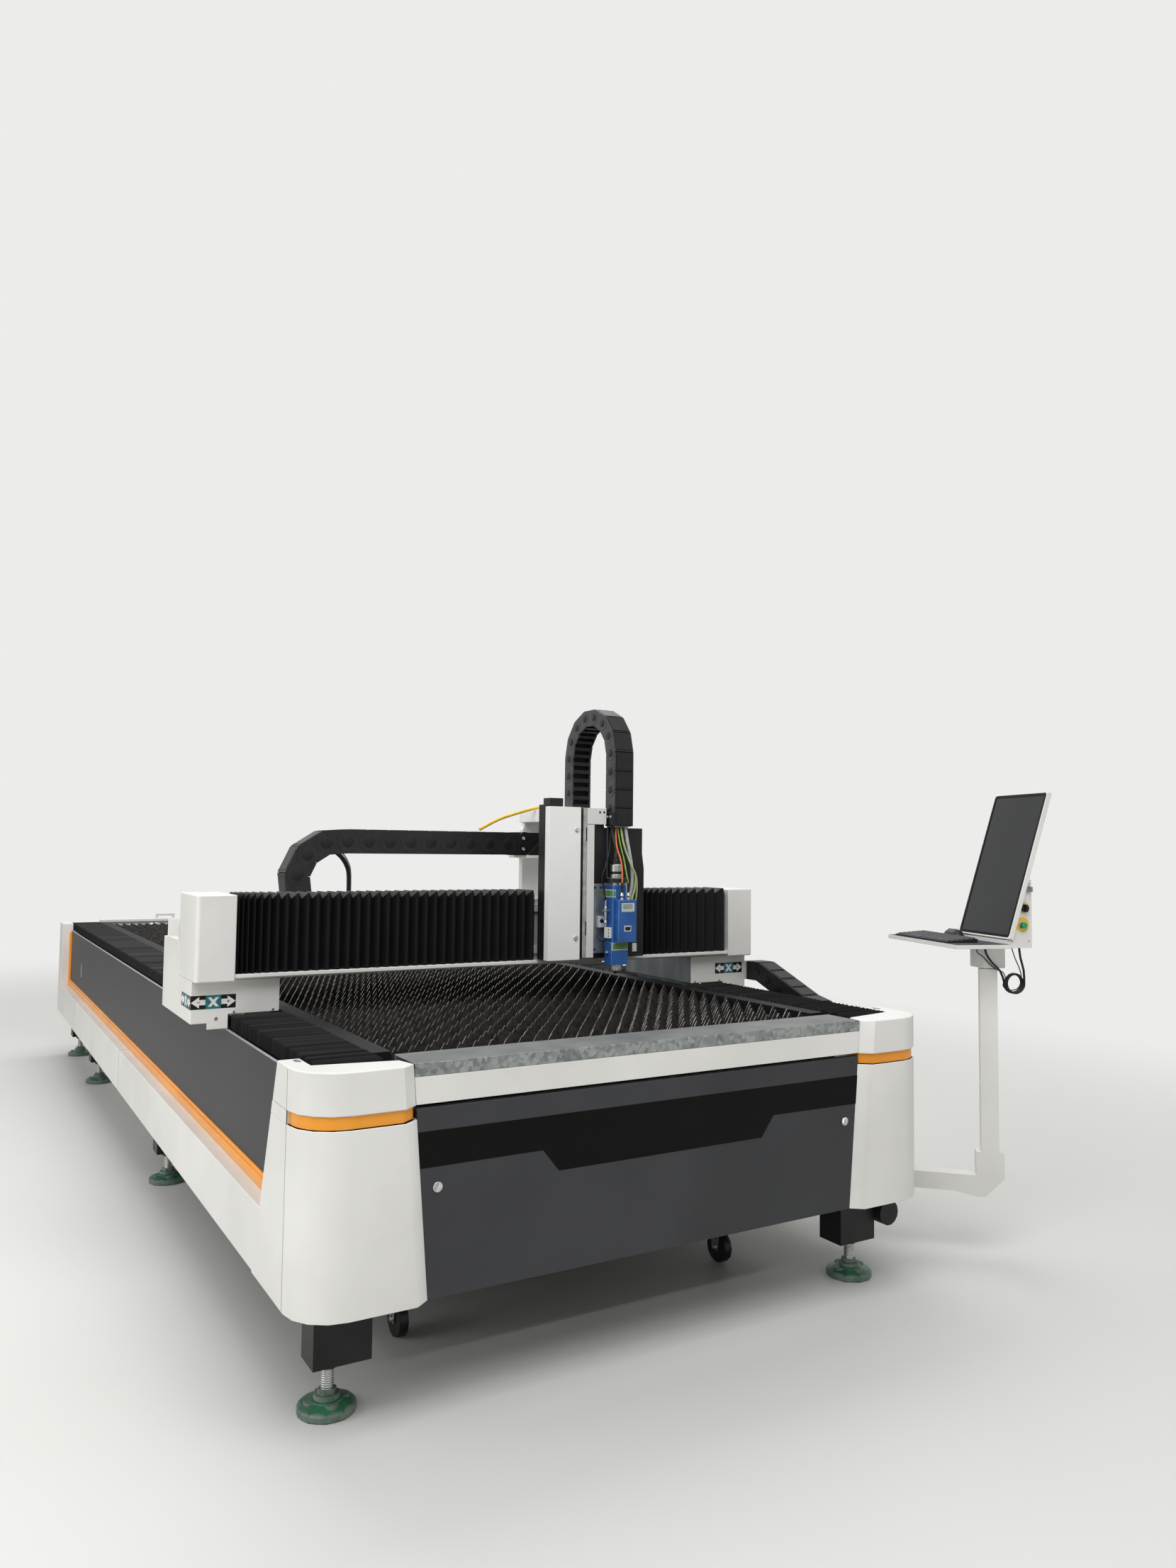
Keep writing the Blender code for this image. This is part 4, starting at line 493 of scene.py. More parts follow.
# Ground and bright-drawn steel: fine grain.
STEEL = two_tone("bright_steel", "#BFBFBD", "#A4A4A2", 30.0, 0.28, 0.95, bump=(0.05, 600))
CHROME = two_tone("chrome_plate", "#D6D6D6", "#C6C6C8", 60.0, 0.12, 1.0)
ALUMINIUM = two_tone("brushed_aluminium", "#A9AEB2", "#8C9297", 18.0, 0.36, 0.80, bump=(0.08, 500),
                     stretch=(1, 1, 0.12))
# Laser-cut slats: near-black scale and spatter on mild steel; the cut edges stay bright.
SLAT = two_tone("scaled_slat_steel", "#3B3734", "#1B1918", 45.0, 0.60, 0.35, bump=(0.45, 380),
                detail=6.0, fleck=("#6A645C", 160, 0.12, 0.12))
CUT_EDGE = two_tone("slat_cut_edge", "#B4B2AE", "#5B5855", 60.0, 0.40, 0.75, bump=(0.30, 500))
BLUE = two_tone("blue_anodised_aluminium", "#2C63AE", "#255799", 12.0, 0.34, 0.25, bump=(0.03, 500))
BLUE_EDGE = two_tone("worn_blue_edge", "#6E97CC", "#5483C0", 30.0, 0.32, 0.3)
GREEN_PAINT = two_tone("green_foot_enamel", "#2F6B4A", "#285C40", 25.0, 0.40, bump=(0.12, 300))
GREEN_DUSTY = two_tone("dusty_green_casting", "#6F7C74", "#4D6257", 30.0, 0.55, bump=(0.25, 260))
GREEN_BAND = two_tone("green_name_band", "#5C8E4C", "#4C7C40", 40.0, 0.42)
GREEN_LENS = two_tone("green_button_plastic", "#2E9A6A", "#268A5E", 50.0, 0.30)
YELLOW = two_tone("yellow_ring_print", "#E3C23A", "#D7B531", 40.0, 0.42)
PLASTIC = two_tone("black_moulded_plastic", "#151618", "#0D0E10", 40.0, 0.42, bump=(0.08, 900),
                   specular=0.35)
KEYCAP = two_tone("grey_keycap_plastic", "#34363A", "#2B2D30", 40.0, 0.50, bump=(0.08, 900))
GLASS = two_tone("screen_glass", "#1C1E21", "#15171A", 3.0, 0.14, specular=0.4)
MAT = two_tone("desk_mat_cloth", "#34323E", "#292732", 30.0, 0.75, bump=(0.20, 800))
TEAL = two_tone("teal_sign_print", "#22757E", "#1E6B74", 60.0, 0.38)
SIGN_BLACK = two_tone("black_sign_print", "#101113", "#0C0D0F", 60.0, 0.38, specular=0.3)
SIGN_WHITE = two_tone("white_sign_print", "#EDEDEA", "#E2E2DF", 60.0, 0.38)
SIGN_RED = two_tone("red_sign_print", "#A8322C", "#982A26", 60.0, 0.38)
DISPLAY = two_tone("grey_display_face", "#C9CDCF", "#BDC2C4", 60.0, 0.35)
LABEL_RIM = two_tone("pale_label_border", "#C3CDB8", "#B2BDA6", 60.0, 0.40)
LCD = two_tone("small_display_glass", "#9CA59C", "#8D968E", 80.0, 0.18)
SEAM = two_tone("seam_shadow", "#5B5A58", "#4A4948", 60.0, 0.6)
FIBRE = two_tone("yellow_fibre_jacket", "#E6BE2E", "#D8AE24", 60.0, 0.42, bump=(0.05, 900))
HOSE_ORANGE = two_tone("orange_hose_jacket", "#DC6F34", "#CB622B", 60.0, 0.40)
HOSE_GREEN = two_tone("green_hose_jacket", "#7FA63A", "#6C9431", 60.0, 0.36)
HOSE_PALE = two_tone("pale_green_tube", "#A9B77E", "#97A76F", 60.0, 0.30)
HOSE_GREY = two_tone("grey_tube_jacket", "#B5B8B8", "#A2A5A5", 60.0, 0.40)
RUST = two_tone("rusty_nut_steel", "#6B4A35", "#3D2E25", 90.0, 0.65, 0.4, bump=(0.4, 500))


# Camera, light and floor

# The camera fitted to the photograph: place in machine axes, angles in degrees, lens in pixels.
CAMERA_PLACE = (-1.9027, -2.7072, 1.4966)
CAMERA_YAW, CAMERA_PITCH, CAMERA_ROLL = 30.9475, 3.3943, 0.6575
LENS_PIXELS, PHOTO_PIXELS, SENSOR_MM = 1537.77, 2212, 36.0
BACKDROP = "#ECECEA"
FLOOR_REACH = 60.0
# Distances over which the floor fades to the backdrop; along the bed they are stretched.
FADE, FADE_STRETCH = (2.2, 6.5), 0.62


def stood(made, side, up, back, place):
    """Put an object at a place in machine axes, with its own three axes along these."""
    matrix = np.eye(4)
    matrix[:3] = np.stack([side, up, back, np.asarray(place, float) + ROW], 1)
    made.matrix_world = Matrix(matrix.tolist())


def look_from_photo():
    """Camera at the photograph's place: yaw, pitch and roll turned into its three axes."""
    yaw, pitch, roll = (math.radians(each) for each in (CAMERA_YAW, CAMERA_PITCH, CAMERA_ROLL))
    level = np.array([math.cos(yaw), -math.sin(yaw), 0.0])
    ahead = np.array([math.sin(yaw) * math.cos(pitch), math.cos(yaw) * math.cos(pitch),
                      math.sin(pitch)])
    up = np.cross(level, ahead)
    lens = bpy.data.cameras.new("camera")
    lens.sensor_width = SENSOR_MM
    lens.lens = LENS_PIXELS / PHOTO_PIXELS * SENSOR_MM
    lens.clip_end = 200.0
    camera = linked("camera", lens)
    stood(camera, math.cos(roll) * level + math.sin(roll) * up,
          -math.sin(roll) * level + math.cos(roll) * up, -ahead, CAMERA_PLACE)
    bpy.context.scene.camera = camera


def lamp(name, place, aim, size, power):
    """Rectangular lamp at a place, facing its aim."""
    data = bpy.data.lights.new(name, "AREA")
    data.shape = "RECTANGLE"
    data.size, data.size_y = size
    data.energy = power
    back = np.subtract(place, aim)
    back /= np.linalg.norm(back)
    side = np.cross([0.0, 1.0, 0.001], back)
    side /= np.linalg.norm(side)
    stood(linked(name, data), side, np.cross(back, side), back, place)


def floor_finish():
    """Pale floor that fades to the backdrop with the distance from the machine."""
    made, tree, shader, place = surface("pale_floor", 0.6)
    colour = ramped(tree, noise(tree, place, 0.7, 3.0), "#CFCFCC", "#D6D6D3")
    tree.links.new(colour, shader.inputs["Base Color"])
    flat = add(tree, "ShaderNodeMapping", {"Vector": place, "Scale": (1.0, FADE_STRETCH, 0.0)})
    away = add(tree, "ShaderNodeVectorMath", {0: flat.outputs["Vector"]}, operation="LENGTH")
    near, far = FADE
    fade = add(tree, "ShaderNodeMapRange",
               {"Value": away.outputs["Value"], "From Min": near, "From Max": far},
               interpolation_type="SMOOTHSTEP")
    seen = add(tree, "ShaderNodeLightPath")
    share = worked(tree, "MULTIPLY", fade.outputs["Result"], seen.outputs["Is Camera Ray"])
    glow = add(tree, "ShaderNodeEmission", {"Color": linear(BACKDROP), "Strength": 1.0})
    mixed(tree, share, shader, glow, "Material Output")
    return made


def studio():
    """Pale floor and background with broad soft lamps overhead."""
    bpy.context.scene.view_settings.view_transform = "Standard"
    world = bpy.data.worlds.new("studio")
    bpy.context.scene.world = world
    world.use_nodes = True
    tree = world.node_tree
    seen = add(tree, "ShaderNodeLightPath")
    mirror = worked(tree, "ADD", seen.outputs["Is Camera Ray"], seen.outputs["Is Glossy Ray"],
                    use_clamp=True)
    plain = tree.nodes["Background"]
    plain.inputs["Color"].default_value = linear("#F2F2F0")
    plain.inputs["Strength"].default_value = 0.50
    bright = add(tree, "ShaderNodeBackground", {"Color": linear(BACKDROP), "Strength": 1.0})
    mixed(tree, mirror, plain, bright, "World Output")
    lamp("overhead_front", (-1.5, -2.5, 6.0), (0.0, 1.5, 0.8), (6.0, 4.0), 270.0)
    lamp("overhead_rear", (0.5, 5.0, 6.5), (0.0, 3.0, 0.8), (7.0, 5.0), 290.0)
    lamp("left_side", (-6.0, 1.0, 3.5), (0.0, 1.5, 0.8), (5.0, 3.0), 130.0)
    floor = bpy.data.meshes.new("floor")
    corners = [(x, y, 0.0) for x, y in oblong(2 * FLOOR_REACH, 2 * FLOOR_REACH)]
    floor.from_pydata(corners, [], [(0, 1, 2, 3)])
    floor.materials.append(floor_finish())
    linked("floor", floor)


# Free cords

# The console's own axes (user on -Y) in the machine's.
CONSOLE = Matrix.Translation((1.555, 0.090, 0.0)) @ Matrix.Rotation(math.radians(-108.0), 4, "Z")


def in_console(points):
    """Points of the console's own axes in machine axes."""
    matrix = np.array(CONSOLE)
    return np.asarray(points, float) @ matrix[:3, :3].T + matrix[:3, 3]


def coil_route():
    """Leads down from the table, two and a half turns about X and up into the case."""
    angle = np.radians(170 + np.arange(0, 911, 22.75))
    share = np.linspace(0, 1, len(angle))
    y, z = around((0.068, 1.010), 0.035, angle).T
    turns = np.stack([0.0535 + 0.0095 * 910 / 360 * share, y, z], 1)
    down = mm((62, -50, 1149), (62, -46, 1122), (60, -20, 1088), (56, 16, 1056))
    rise = mm((79, 100, 1060), (78, 88, 1105), (78, 82, 1149))
    return np.concatenate([down, turns, rise])


HEAD_HOSES = (
    ("hose_main", 0.014, HOSE_GREY, mm(
        (450, 926, 1583), (455, 918, 1530), (462, 905, 1460), (466, 897, 1400), (461, 892, 1350),
        (445, 888, 1301.5)), {"stands_for": ["head_hoses"]}),
    ("hose_orange", 0.0065, HOSE_ORANGE, mm(
        (405, 925, 1583), (398, 912, 1540), (392, 893, 1500), (396, 870, 1450), (395, 858, 1400),
        (394, 857, 1360), (394, 858, 1327)), {}),
    ("hose_green", 0.0065, HOSE_GREEN, mm(
        (414, 927, 1583), (414, 905, 1515), (419, 885, 1455), (419, 868, 1407), (423.5, 858, 1360),
        (423.5, 859, 1327)), {}),
    ("hose_pale", 0.008, HOSE_PALE, mm(
        (427, 925, 1583), (432, 905, 1509), (448, 880, 1437), (467, 874, 1394), (462, 872, 1346),
        (446, 868, 1300.5)), {}),
    ("hose_loop", 0.008, HOSE_PALE, mm(
        (436, 934, 1583), (446, 925, 1510), (468, 912, 1440), (484, 898, 1390), (488, 897, 1340),
        (480, 896, 1290), (454.5, 894, 1268)), {}),
    ("sensor_cable", 0.006, PLASTIC, mm(
        (385, 930, 1583), (380, 925, 1540), (369, 915, 1485), (345, 905, 1425), (331, 903, 1383),
        (342, 905, 1335), (350, 905, 1290), (350, 905, 1258)), {}),
    ("head_conduit", 0.015, PLASTIC, mm(
        (394, 900, 1470), (390, 908, 1515), (388, 922, 1555), (388, 926, 1584)), {}),
    ("probe_cable", 0.0032, PLASTIC, mm(
        (362, 915, 1147), (340, 912, 1138), (318, 914, 1155), (329, 916, 1185), (345, 916, 1186),
        (349, 914, 1165)), {"stiffness": "limp"}),
)


def build_cords():
    """Hoses of the cutting head, the fibre, the chain's hose arch and the console's leads."""
    for name, diameter, finish, points, more in HEAD_HOSES:
        hose(name, "z_slide", points, diameter, finish, **more)
    fibre = mm((10, 1340, 1570), (90, 1330, 1612), (170, 1320, 1640), (255, 1300, 1664),
               (330, 1282, 1666))
    hose("laser_fibre", "head_carriage", fibre, 0.0125, FIBRE, stiffness="stiff",
         stands_for=["fibre_cable"])
    for name, x, z, y, radius, diameter, finish in (
        ("arch_conduit", -0.612, 1.372, 1.463, 0.118, 0.017, PLASTIC),
        ("arch_cable", -0.607, 1.381, 1.478, 0.125, 0.007, HOSE_GREY),
    ):
        bow = [(u, y, v) for u, v in arc((x, z), radius, 180, 0, 8)]
        left, right = bow[0][0], bow[-1][0]
        legs = [(left - 0.003, y, 1.1635), (left, y, 1.260), *bow, (right, y, 1.260),
                (right + 0.003, y, 1.1635)]
        hose(name, "gantry", legs, diameter, finish, steps=3)
    across = np.array(CONSOLE)[:3, 0]
    hose("console_lead", "console", in_console(coil_route()), 0.0084, PLASTIC, lay="coiled",
         stands_for=["console_cables"], across=across, steps=2, sides=8)
    loose = mm((52, -70, 1149.5), (52, -78, 1128), (52.5, -52, 1108), (51, -22, 1080),
               (50, 4, 1062), (46, 34, 1050), (43.5, 46, 1026), (43.5, 36, 1000), (43.5, 58, 982),
               (43.5, 98, 988), (43.5, 114, 1020), (46, 106, 1060), (54, 80, 1105), (56, 64, 1149.5))
    hose("mouse_lead", "console", in_console(loose), 0.004, PLASTIC, stiffness="limp",
         across=across, steps=4, sides=8)


# Bed

PANEL_FACE, SKIRT_FACE, POST_FACE = 1.040, 1.096, 1.100
LEDGE, PANEL_TOP, PANEL_REAR = 0.506, 0.881, 5.750
TRIM, TRIM_STEP = 0.028, 0.013
BAND_LOW, BAND_MIDDLE, BAND_HIGH = 0.7865, 0.8, 0.8188
# Feet and castors: x of those on the right, and y of each pair.
FOOT_X, FOOT_ROWS = 0.945, (0.205, 2.489, 4.817, 5.844)
CASTOR_X, CASTOR_ROWS, CASTOR_RADIUS = 0.620, (0.530, 2.210), 0.0556
SIDES = (("left", -1.0), ("right", 1.0))


def post_rear(height):
    """Rear edge of the corner post, which slants back towards the skirt."""
    return 0.210 + (0.930 - height) * 0.331


def build_sheets():
    """Covers and frames that are the source's own shapes with softened sheet edges."""
    for side, mirror in SIDES:
        for name, finish, edge in (
            ("corner_cover", WHITE, 0.0015), ("corner_cap", WHITE, 0.0030),
            ("corner_band", WHITE, 0.0002), ("side_skirt", WHITE, 0.0015),
            ("side_panel", GREY, 0.001), ("side_trim", ORANGE, 0.0015),
        ):
            softened(f"{name}_{side}", finish, edge)
        repaint(softened("frame_" + side, BLACK, 0.0015), GREEN_PAINT,
                lambda centre, normal: centre[:, 2] < 0.046)
        repaint(softened("gantry_box_" + side, WHITE, 0.002), ALUMINIUM,
                lambda centre, normal: normal[:, 0] * mirror < -0.5)
        softened("gantry_cover_" + side, WHITE, 0.004)
        softened("door_lock_" + side, CHROME, 0.0004)
    for made, finish in ((softened("front_strip", ZINC, 0.0015), ZINC_TOP),
                         (softened("keyboard_table", WHITE, 0.001), MAT)):
        repaint(made, finish, lambda centre, normal: normal[:, 2] > 0.5)
    for name, finish, edge in (
        ("front_band", WHITE, 0.0015), ("rear_wall", WHITE, 0.002), ("front_door", CHARCOAL, 0.001),
        ("cross_beam", BLACK, 0.002), ("scrap_cart", BLACK, 0.001),
        ("bed_chain_tray", BLACK, 0.001), ("gantry_beam", WHITE, 0.002),
        ("beam_chain_tray", WHITE, 0.001), ("carriage_plate", BLACK, 0.001),
        # The lifting drive's cover and chain arm take the white painted brighter, as painted light.
        ("z_cover", LIT_WHITE, 0.002), ("chain_arm", LIT_WHITE, 0.0015),
        ("slide_plate", ALUMINIUM, 0.0006), ("console_stand", WHITE, 0.003),
        ("console_case", WHITE, 0.002), ("z_lock_upper", CHROME, 0.0003),
        ("z_lock_lower", CHROME, 0.0003), ("start_button", GREEN_LENS, 0.0008),
        ("selector_knob", PLASTIC, 0.0008), ("key_switch", STEEL, 0.0004),
    ):
        softened(name, finish, edge)


def post_edge(inset):
    """Plan of the right post at its band, from the side round to the door, set back by inset."""
    inner = 0.749 + (BAND_MIDDLE - 0.317) / 0.613 * 0.051 + inset
    outer, front, radius = POST_FACE - inset, inset - 0.031, 0.130 - inset
    bend = arc((outer - radius, front + radius), radius, 0, -90, 10)
    return [(outer, 0.110), *bend, (inner + 0.039, front), (inner, inset), (inner, 0.034)]


def build_bands():
    """Orange bands that fill the groove between post and cap round to the door."""
    shape = extruded(post_edge(0.0075) + post_edge(0.0190)[::-1], "Z", BAND_LOW, BAND_HIGH)
    piece("corner_band_fronts", "bed", both_sides((shape, ORANGE)), bevel=0.0008,
          smooth=SHARP_BAND)


def build_motif():
    """Black swept stripe painted on the front door, as a thin coat."""
    outline = mm((-786.4, 750.9), (793.8, 749.4), (786.2, 656), (421.6, 659), (372.5, 594.9),
                 (-359.8, 594.9), (-411.2, 657.4), (-778.2, 656.4))
    piece("door_stripe", "bed", [(extruded(outline, "Y", -0.0006, 0.0005), MOTIF)])


def wing(centre, along, size):
    """Quarter-turn lock: a dished round head with a raised grip bar across it."""
    dish = np.array([(1.03, -0.02), (1.03, 0.20), (0.9, 0.28), (0.62, 0.22)]) * size
    bar = [(-0.86, -0.20), (-0.62, -0.30), (0.62, -0.30), (0.86, -0.20), (0.86, 0.20), (0.62, 0.30),
           (-0.62, 0.30), (-0.86, 0.20)]
    grip = patch(np.array(bar) * size, centre, along, -np.cross(along, FRONT), size * 0.1,
                 size * 0.62)
    return [(spun(dish, 24, centre, FRONT), CHROME), (grip, CHROME)]


def build_locks():
    """Heads of the front door's and the lifting drive's locks, each on its own body."""
    for side, mirror in SIDES:
        piece("door_lock_head_" + side, f"door_lock_{side}_part",
              wing((mirror * 0.727, -0.0004, 0.604), (0.5, 0, 0.866), 0.0135), bevel=0.0005)
    for which, height in (("upper", 1.569), ("lower", 1.155)):
        piece("z_lock_head_" + which, f"z_lock_{which}_part",
              wing((0.222, 0.9146, height), UP, 0.0095), bevel=0.0004)


def build_bed_details():
    """Seams, screws, trim steps, feet and castors of the bed."""
    seams = []
    for face, front, back, low, high in (
        (POST_FACE, 0.1091, 0.1107, 0.319, 0.926),
        (PANEL_FACE, 3.079, 3.0812, LEDGE + 0.002, PANEL_TOP - 0.001),
        (SKIRT_FACE, 2.979, 2.981, 0.318, LEDGE),
        (SKIRT_FACE, 4.889, 4.891, 0.318, LEDGE),
    ):
        seams.append((slab((face - 0.002, front, low), (face + 0.0003, back, high)), SEAM))
    seams.append((slab((PANEL_FACE + 0.001, 2.989, LEDGE - 0.002),
                       (SKIRT_FACE - 0.001, 2.991, LEDGE + 0.0003)), SEAM))
    piece("sheet_seams", "bed", both_sides(*seams))
    hole = rounded((-0.0185, -0.0085), (0.0185, 0.0085), 0.008, 3)
    recess = patch(hole, (1.0565, 0.1775, 0.930), BACK, LEFT, -0.001, 0.0003)
    rim_screw = screw((1.0565, 0.1690, 0.9302), UP, 0.0055, 0.002)
    piece("cap_screws", "bed", both_sides((recess, SEAM), (rim_screw, STEEL)))

    low, high, rear = LEDGE + TRIM, PANEL_TOP - 0.010, PANEL_REAR - TRIM
    inner_low, inner_rear = low + TRIM_STEP, rear - TRIM_STEP
    outline = [
        (post_rear(high) + TRIM, high), (post_rear(low) + TRIM, low), (rear, low), (rear, high),
        (inner_rear, high), (inner_rear, inner_low),
        (post_rear(inner_low) + TRIM + TRIM_STEP, inner_low),
        (post_rear(high) + TRIM + TRIM_STEP, high),
    ]
    step = extruded(outline, "X", PANEL_FACE - 0.001, PANEL_FACE + 0.005)
    piece("trim_steps", "bed", both_sides((step, ORANGE)), bevel=0.001)
    edge = slab((1.0305, post_rear(PANEL_TOP) + 0.002, PANEL_TOP - 0.001),
                (1.0398, PANEL_REAR, PANEL_TOP + 0.0006))
    slot = rounded((5.1085, 0.6215), (5.1315, 0.7135), 0.0112, 5)
    lining = patch(slot, (1.0366, 0, 0), BACK, UP, 0.0, 0.0025)
    piece("panel_edges", "bed", both_sides((edge, HOSE_GREY), (lining, WHITE)))
    top = PANEL_TOP - 0.001
    fold = [(post_rear(LEDGE) - 0.0065, LEDGE), (post_rear(LEDGE) - 0.0015, LEDGE),
            (post_rear(top) - 0.0015, top), (post_rear(top) - 0.0065, top)]
    returns = extruded(fold, "X", PANEL_FACE - 0.004, POST_FACE - 0.0052)
    piece("corner_returns", "bed", both_sides((returns, WHITE)))

    angle = np.radians(np.arange(0, 360, 6))
    lobes = 0.045 + 0.017 * np.clip(np.cos(4 * angle), 0, 1) ** 0.4
    turns = np.arange(31)
    thread = np.stack([np.where(turns % 2, 0.0180, 0.0163), 0.044 + turns * 0.003], 1)
    pad = mm((74.5, 0.5), (78.5, 4), (78.5, 16.5), (75, 21.2), (58, 25.5), (36, 34.5), (34, 46.5))
    parts = []
    for y in FOOT_ROWS:
        spot = (FOOT_X, y)
        parts += [
            (turned(pad, 40, *spot), GREEN_DUSTY),
            (extruded(around(spot, lobes, angle), "Z", 0.015, 0.034), GREEN_DUSTY),
            (turned(thread, 14, *spot), STEEL),
            (extruded(ring_points(0.029, 6, spot, 0.3), "Z", 0.114, 0.1345), RUST),
            (extruded(ring_points(0.026, 6, spot, 0.1), "Z", 0.046, 0.060), GREEN_DUSTY),
        ]
    piece("levelling_feet", "bed", both_sides(*parts), bevel=0.0012)
    tread = mm((45, -14.8), (53.5, -11.5), (55.6, -4), (55.6, 4), (53.5, 11.5), (45, 14.8))
    parts = []
    for y in CASTOR_ROWS:
        parts.append((spun(tread, 28, (CASTOR_X, y, CASTOR_RADIUS), RIGHT), PLASTIC))
        fork = [(y - 0.017, 0.045), (y + 0.017, 0.045), (y + 0.034, 0.165), (y + 0.034, 0.1895),
                (y - 0.034, 0.1895), (y - 0.034, 0.165)]
        for low in (0.5985, 0.6385):
            parts.append((extruded(fork, "X", low, low + 0.003), CHROME))
        for x, out in ((0.6413, RIGHT), (0.5987, LEFT)):
            parts.append((screw((x, y, 0.055), out, 0.009, 0.005), STEEL))
    piece("cart_castors", "bed", both_sides(*parts), bevel=0.0006)


SLAT_FIRST, SLAT_LAST, SLAT_COUNT = 0.250, 5.710, 79
SLAT_HALF, SLAT_LOW, SLAT_VALLEY, SLAT_TIP = 0.782, 0.800, 0.891, 0.930
TEETH = 31
# One tooth: places along it as shares of its width, and heights from valley to tip.
TOOTH_PLACES, TOOTH_HEIGHTS = np.array([0.0, 0.04, 0.47, 0.53, 0.96]), [0.0, 0.0, 1.0, 1.0, 0.0]


def build_slats():
    """Toothed slats: height along X is a saw with narrow flat tips and valleys, a little burnt."""
    rng = np.random.default_rng(7)
    width = 2 * SLAT_HALF / TEETH
    across = (-SLAT_HALF + width * (np.arange(TEETH)[:, None] + TOOTH_PLACES)).ravel()
    across = np.append(across, SLAT_HALF)
    saw = np.append(np.tile(TOOTH_HEIGHTS, TEETH), 0.0)
    where = np.linspace(SLAT_FIRST, SLAT_LAST, SLAT_COUNT)[:, None]
    burnt = rng.uniform(-0.004, 0.0, (SLAT_COUNT, len(saw))) * saw
    top = SLAT_VALLEY + (SLAT_TIP - SLAT_VALLEY) * saw + burnt
    sway = rng.uniform(-0.0025, 0.0025, (SLAT_COUNT, 1))
    rings = np.zeros((SLAT_COUNT, len(across), 4, 3))
    rings[..., 0] = across[None, :, None]
    for corner, (side, high) in enumerate(((-1, 0), (-1, 1), (1, 1), (1, 0))):
        rings[:, :, corner, 1] = where + side * 0.002 + sway * high
        rings[:, :, corner, 2] = top if high else SLAT_LOW
    slats = joined(*[skinned(ring) for ring in rings])
    made = piece("slats", "bed", [(slats, SLAT)], stands_for=["slat_rack_front", "slat_rack_rear"])
    repaint(made, CUT_EDGE, lambda centre, normal: normal[:, 2] > 0.3)
    wall = slab((0.778, 0.220, 0.8555), (0.842, 5.740, 0.925))
    piece("slat_walls", "bed", both_sides((wall, STRIP)), bevel=0.0015)


def shared(made):
    """Bake a piece's placement into its vertices."""
    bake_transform(made)


def bellows(name, node, profile, axis, start, end, widths, crest=((0.0, 0.0), (0.5, 1.0))):
    """Bellows: inner + (outer - inner) crest at each station, as one piece on no body.

    profile is the inner and the outer ring; widths are the pleats' own shares of the length,
    and crest holds (place in the pleat, share of the way from the inner to the outer ring).
    """
    inner, outer = (np.asarray(each, float) for each in profile)
    ends = np.concatenate([[0.0], np.cumsum(widths)]) / np.sum(widths)
    shares, levels = np.asarray(crest).T
    t = np.append((ends[:-1, None] + np.diff(ends)[:, None] * shares).ravel(), 1.0)
    level = np.append(np.tile(levels, len(widths)), levels[0])
    folded = inner[None] + (outer - inner)[None] * level[:, None, None]
    shape = skinned(set_along(folded, axis, start + (end - start) * t))
    made = piece(name, None, [(shape, BELLOWS)], stands_for=[node], smooth=SHARP_FOLD)
    along = AXES[axis][2]
    low, high = np.zeros(3), np.zeros(3)
    low[along], high[along] = start + ROW[along], end + ROW[along]
    points = np.zeros(len(made.data.vertices) * 3, np.float32)
    made.data.vertices.foreach_get("co", points)
    shared(made)
    return made


def build_bed_bellows():
    """Flat-topped bellows over the bed's rails, in front of the gantry and behind it."""
    def ring(mirror, inset):
        top, outer = 0.932 - inset, 1.029 - inset
        points = ((0.845, 0.8843), (outer, 0.8843), (outer, top - 0.004), (outer - 0.004, top),
                  (0.845, top))
        return [(x * mirror, z) for x, z in points]

    for side, mirror in SIDES:
        profile = (ring(mirror, 0.021), ring(mirror, 0.0))
        rng = np.random.default_rng(11)
        bellows("front_bellows_" + side, "bellows_front_" + side, profile, "Y",
                0.107, 1.049, rng.uniform(0.55, 1.5, 46))
        bellows("rear_bellows_" + side, "bellows_rear_" + side, profile, "Y",
                1.556, 5.849, rng.uniform(0.7, 1.35, 86))


def build_beam_bellows():
    """Roof-shaped bellows over the beam, on both sides of the carriage."""
    def ring(inset):
        front, top = 1.005 + inset, 1.335 - inset
        return [(front, 1.071), (front, top - 0.001), (front + 0.001, top), (1.140, top),
                (1.140, 1.3003), (1.0285, 1.3003), (1.0285, 1.071)]

    crest = ((0.0, 0.0), (0.44, 1.0), (0.56, 1.0))
    for side, bodies, start, end, widths in (
        ("left", ("gantry", "head_carriage"), -1.0267, 0.1007,
         [*np.linspace(0.35, 1.0, 9), *np.ones(25)]),
        ("right", ("head_carriage", "gantry"), 0.5573, 1.0267, np.linspace(0.55, 1.5, 13)),
    ):
        made = bellows(side + "_beam_bellows", "beam_bellows_" + side,
                       (ring(0.021), ring(0.0)), "X", start, end, widths, crest)
        repaint(made, DUSTY, lambda centre, normal: (normal[:, 2] > 0.3) & (centre[:, 2] > 1.303))


# Link chains

# How far a link's sides stand back from the chain's width, for the bosses at the joints.
BOSS_ROOM = 0.0034


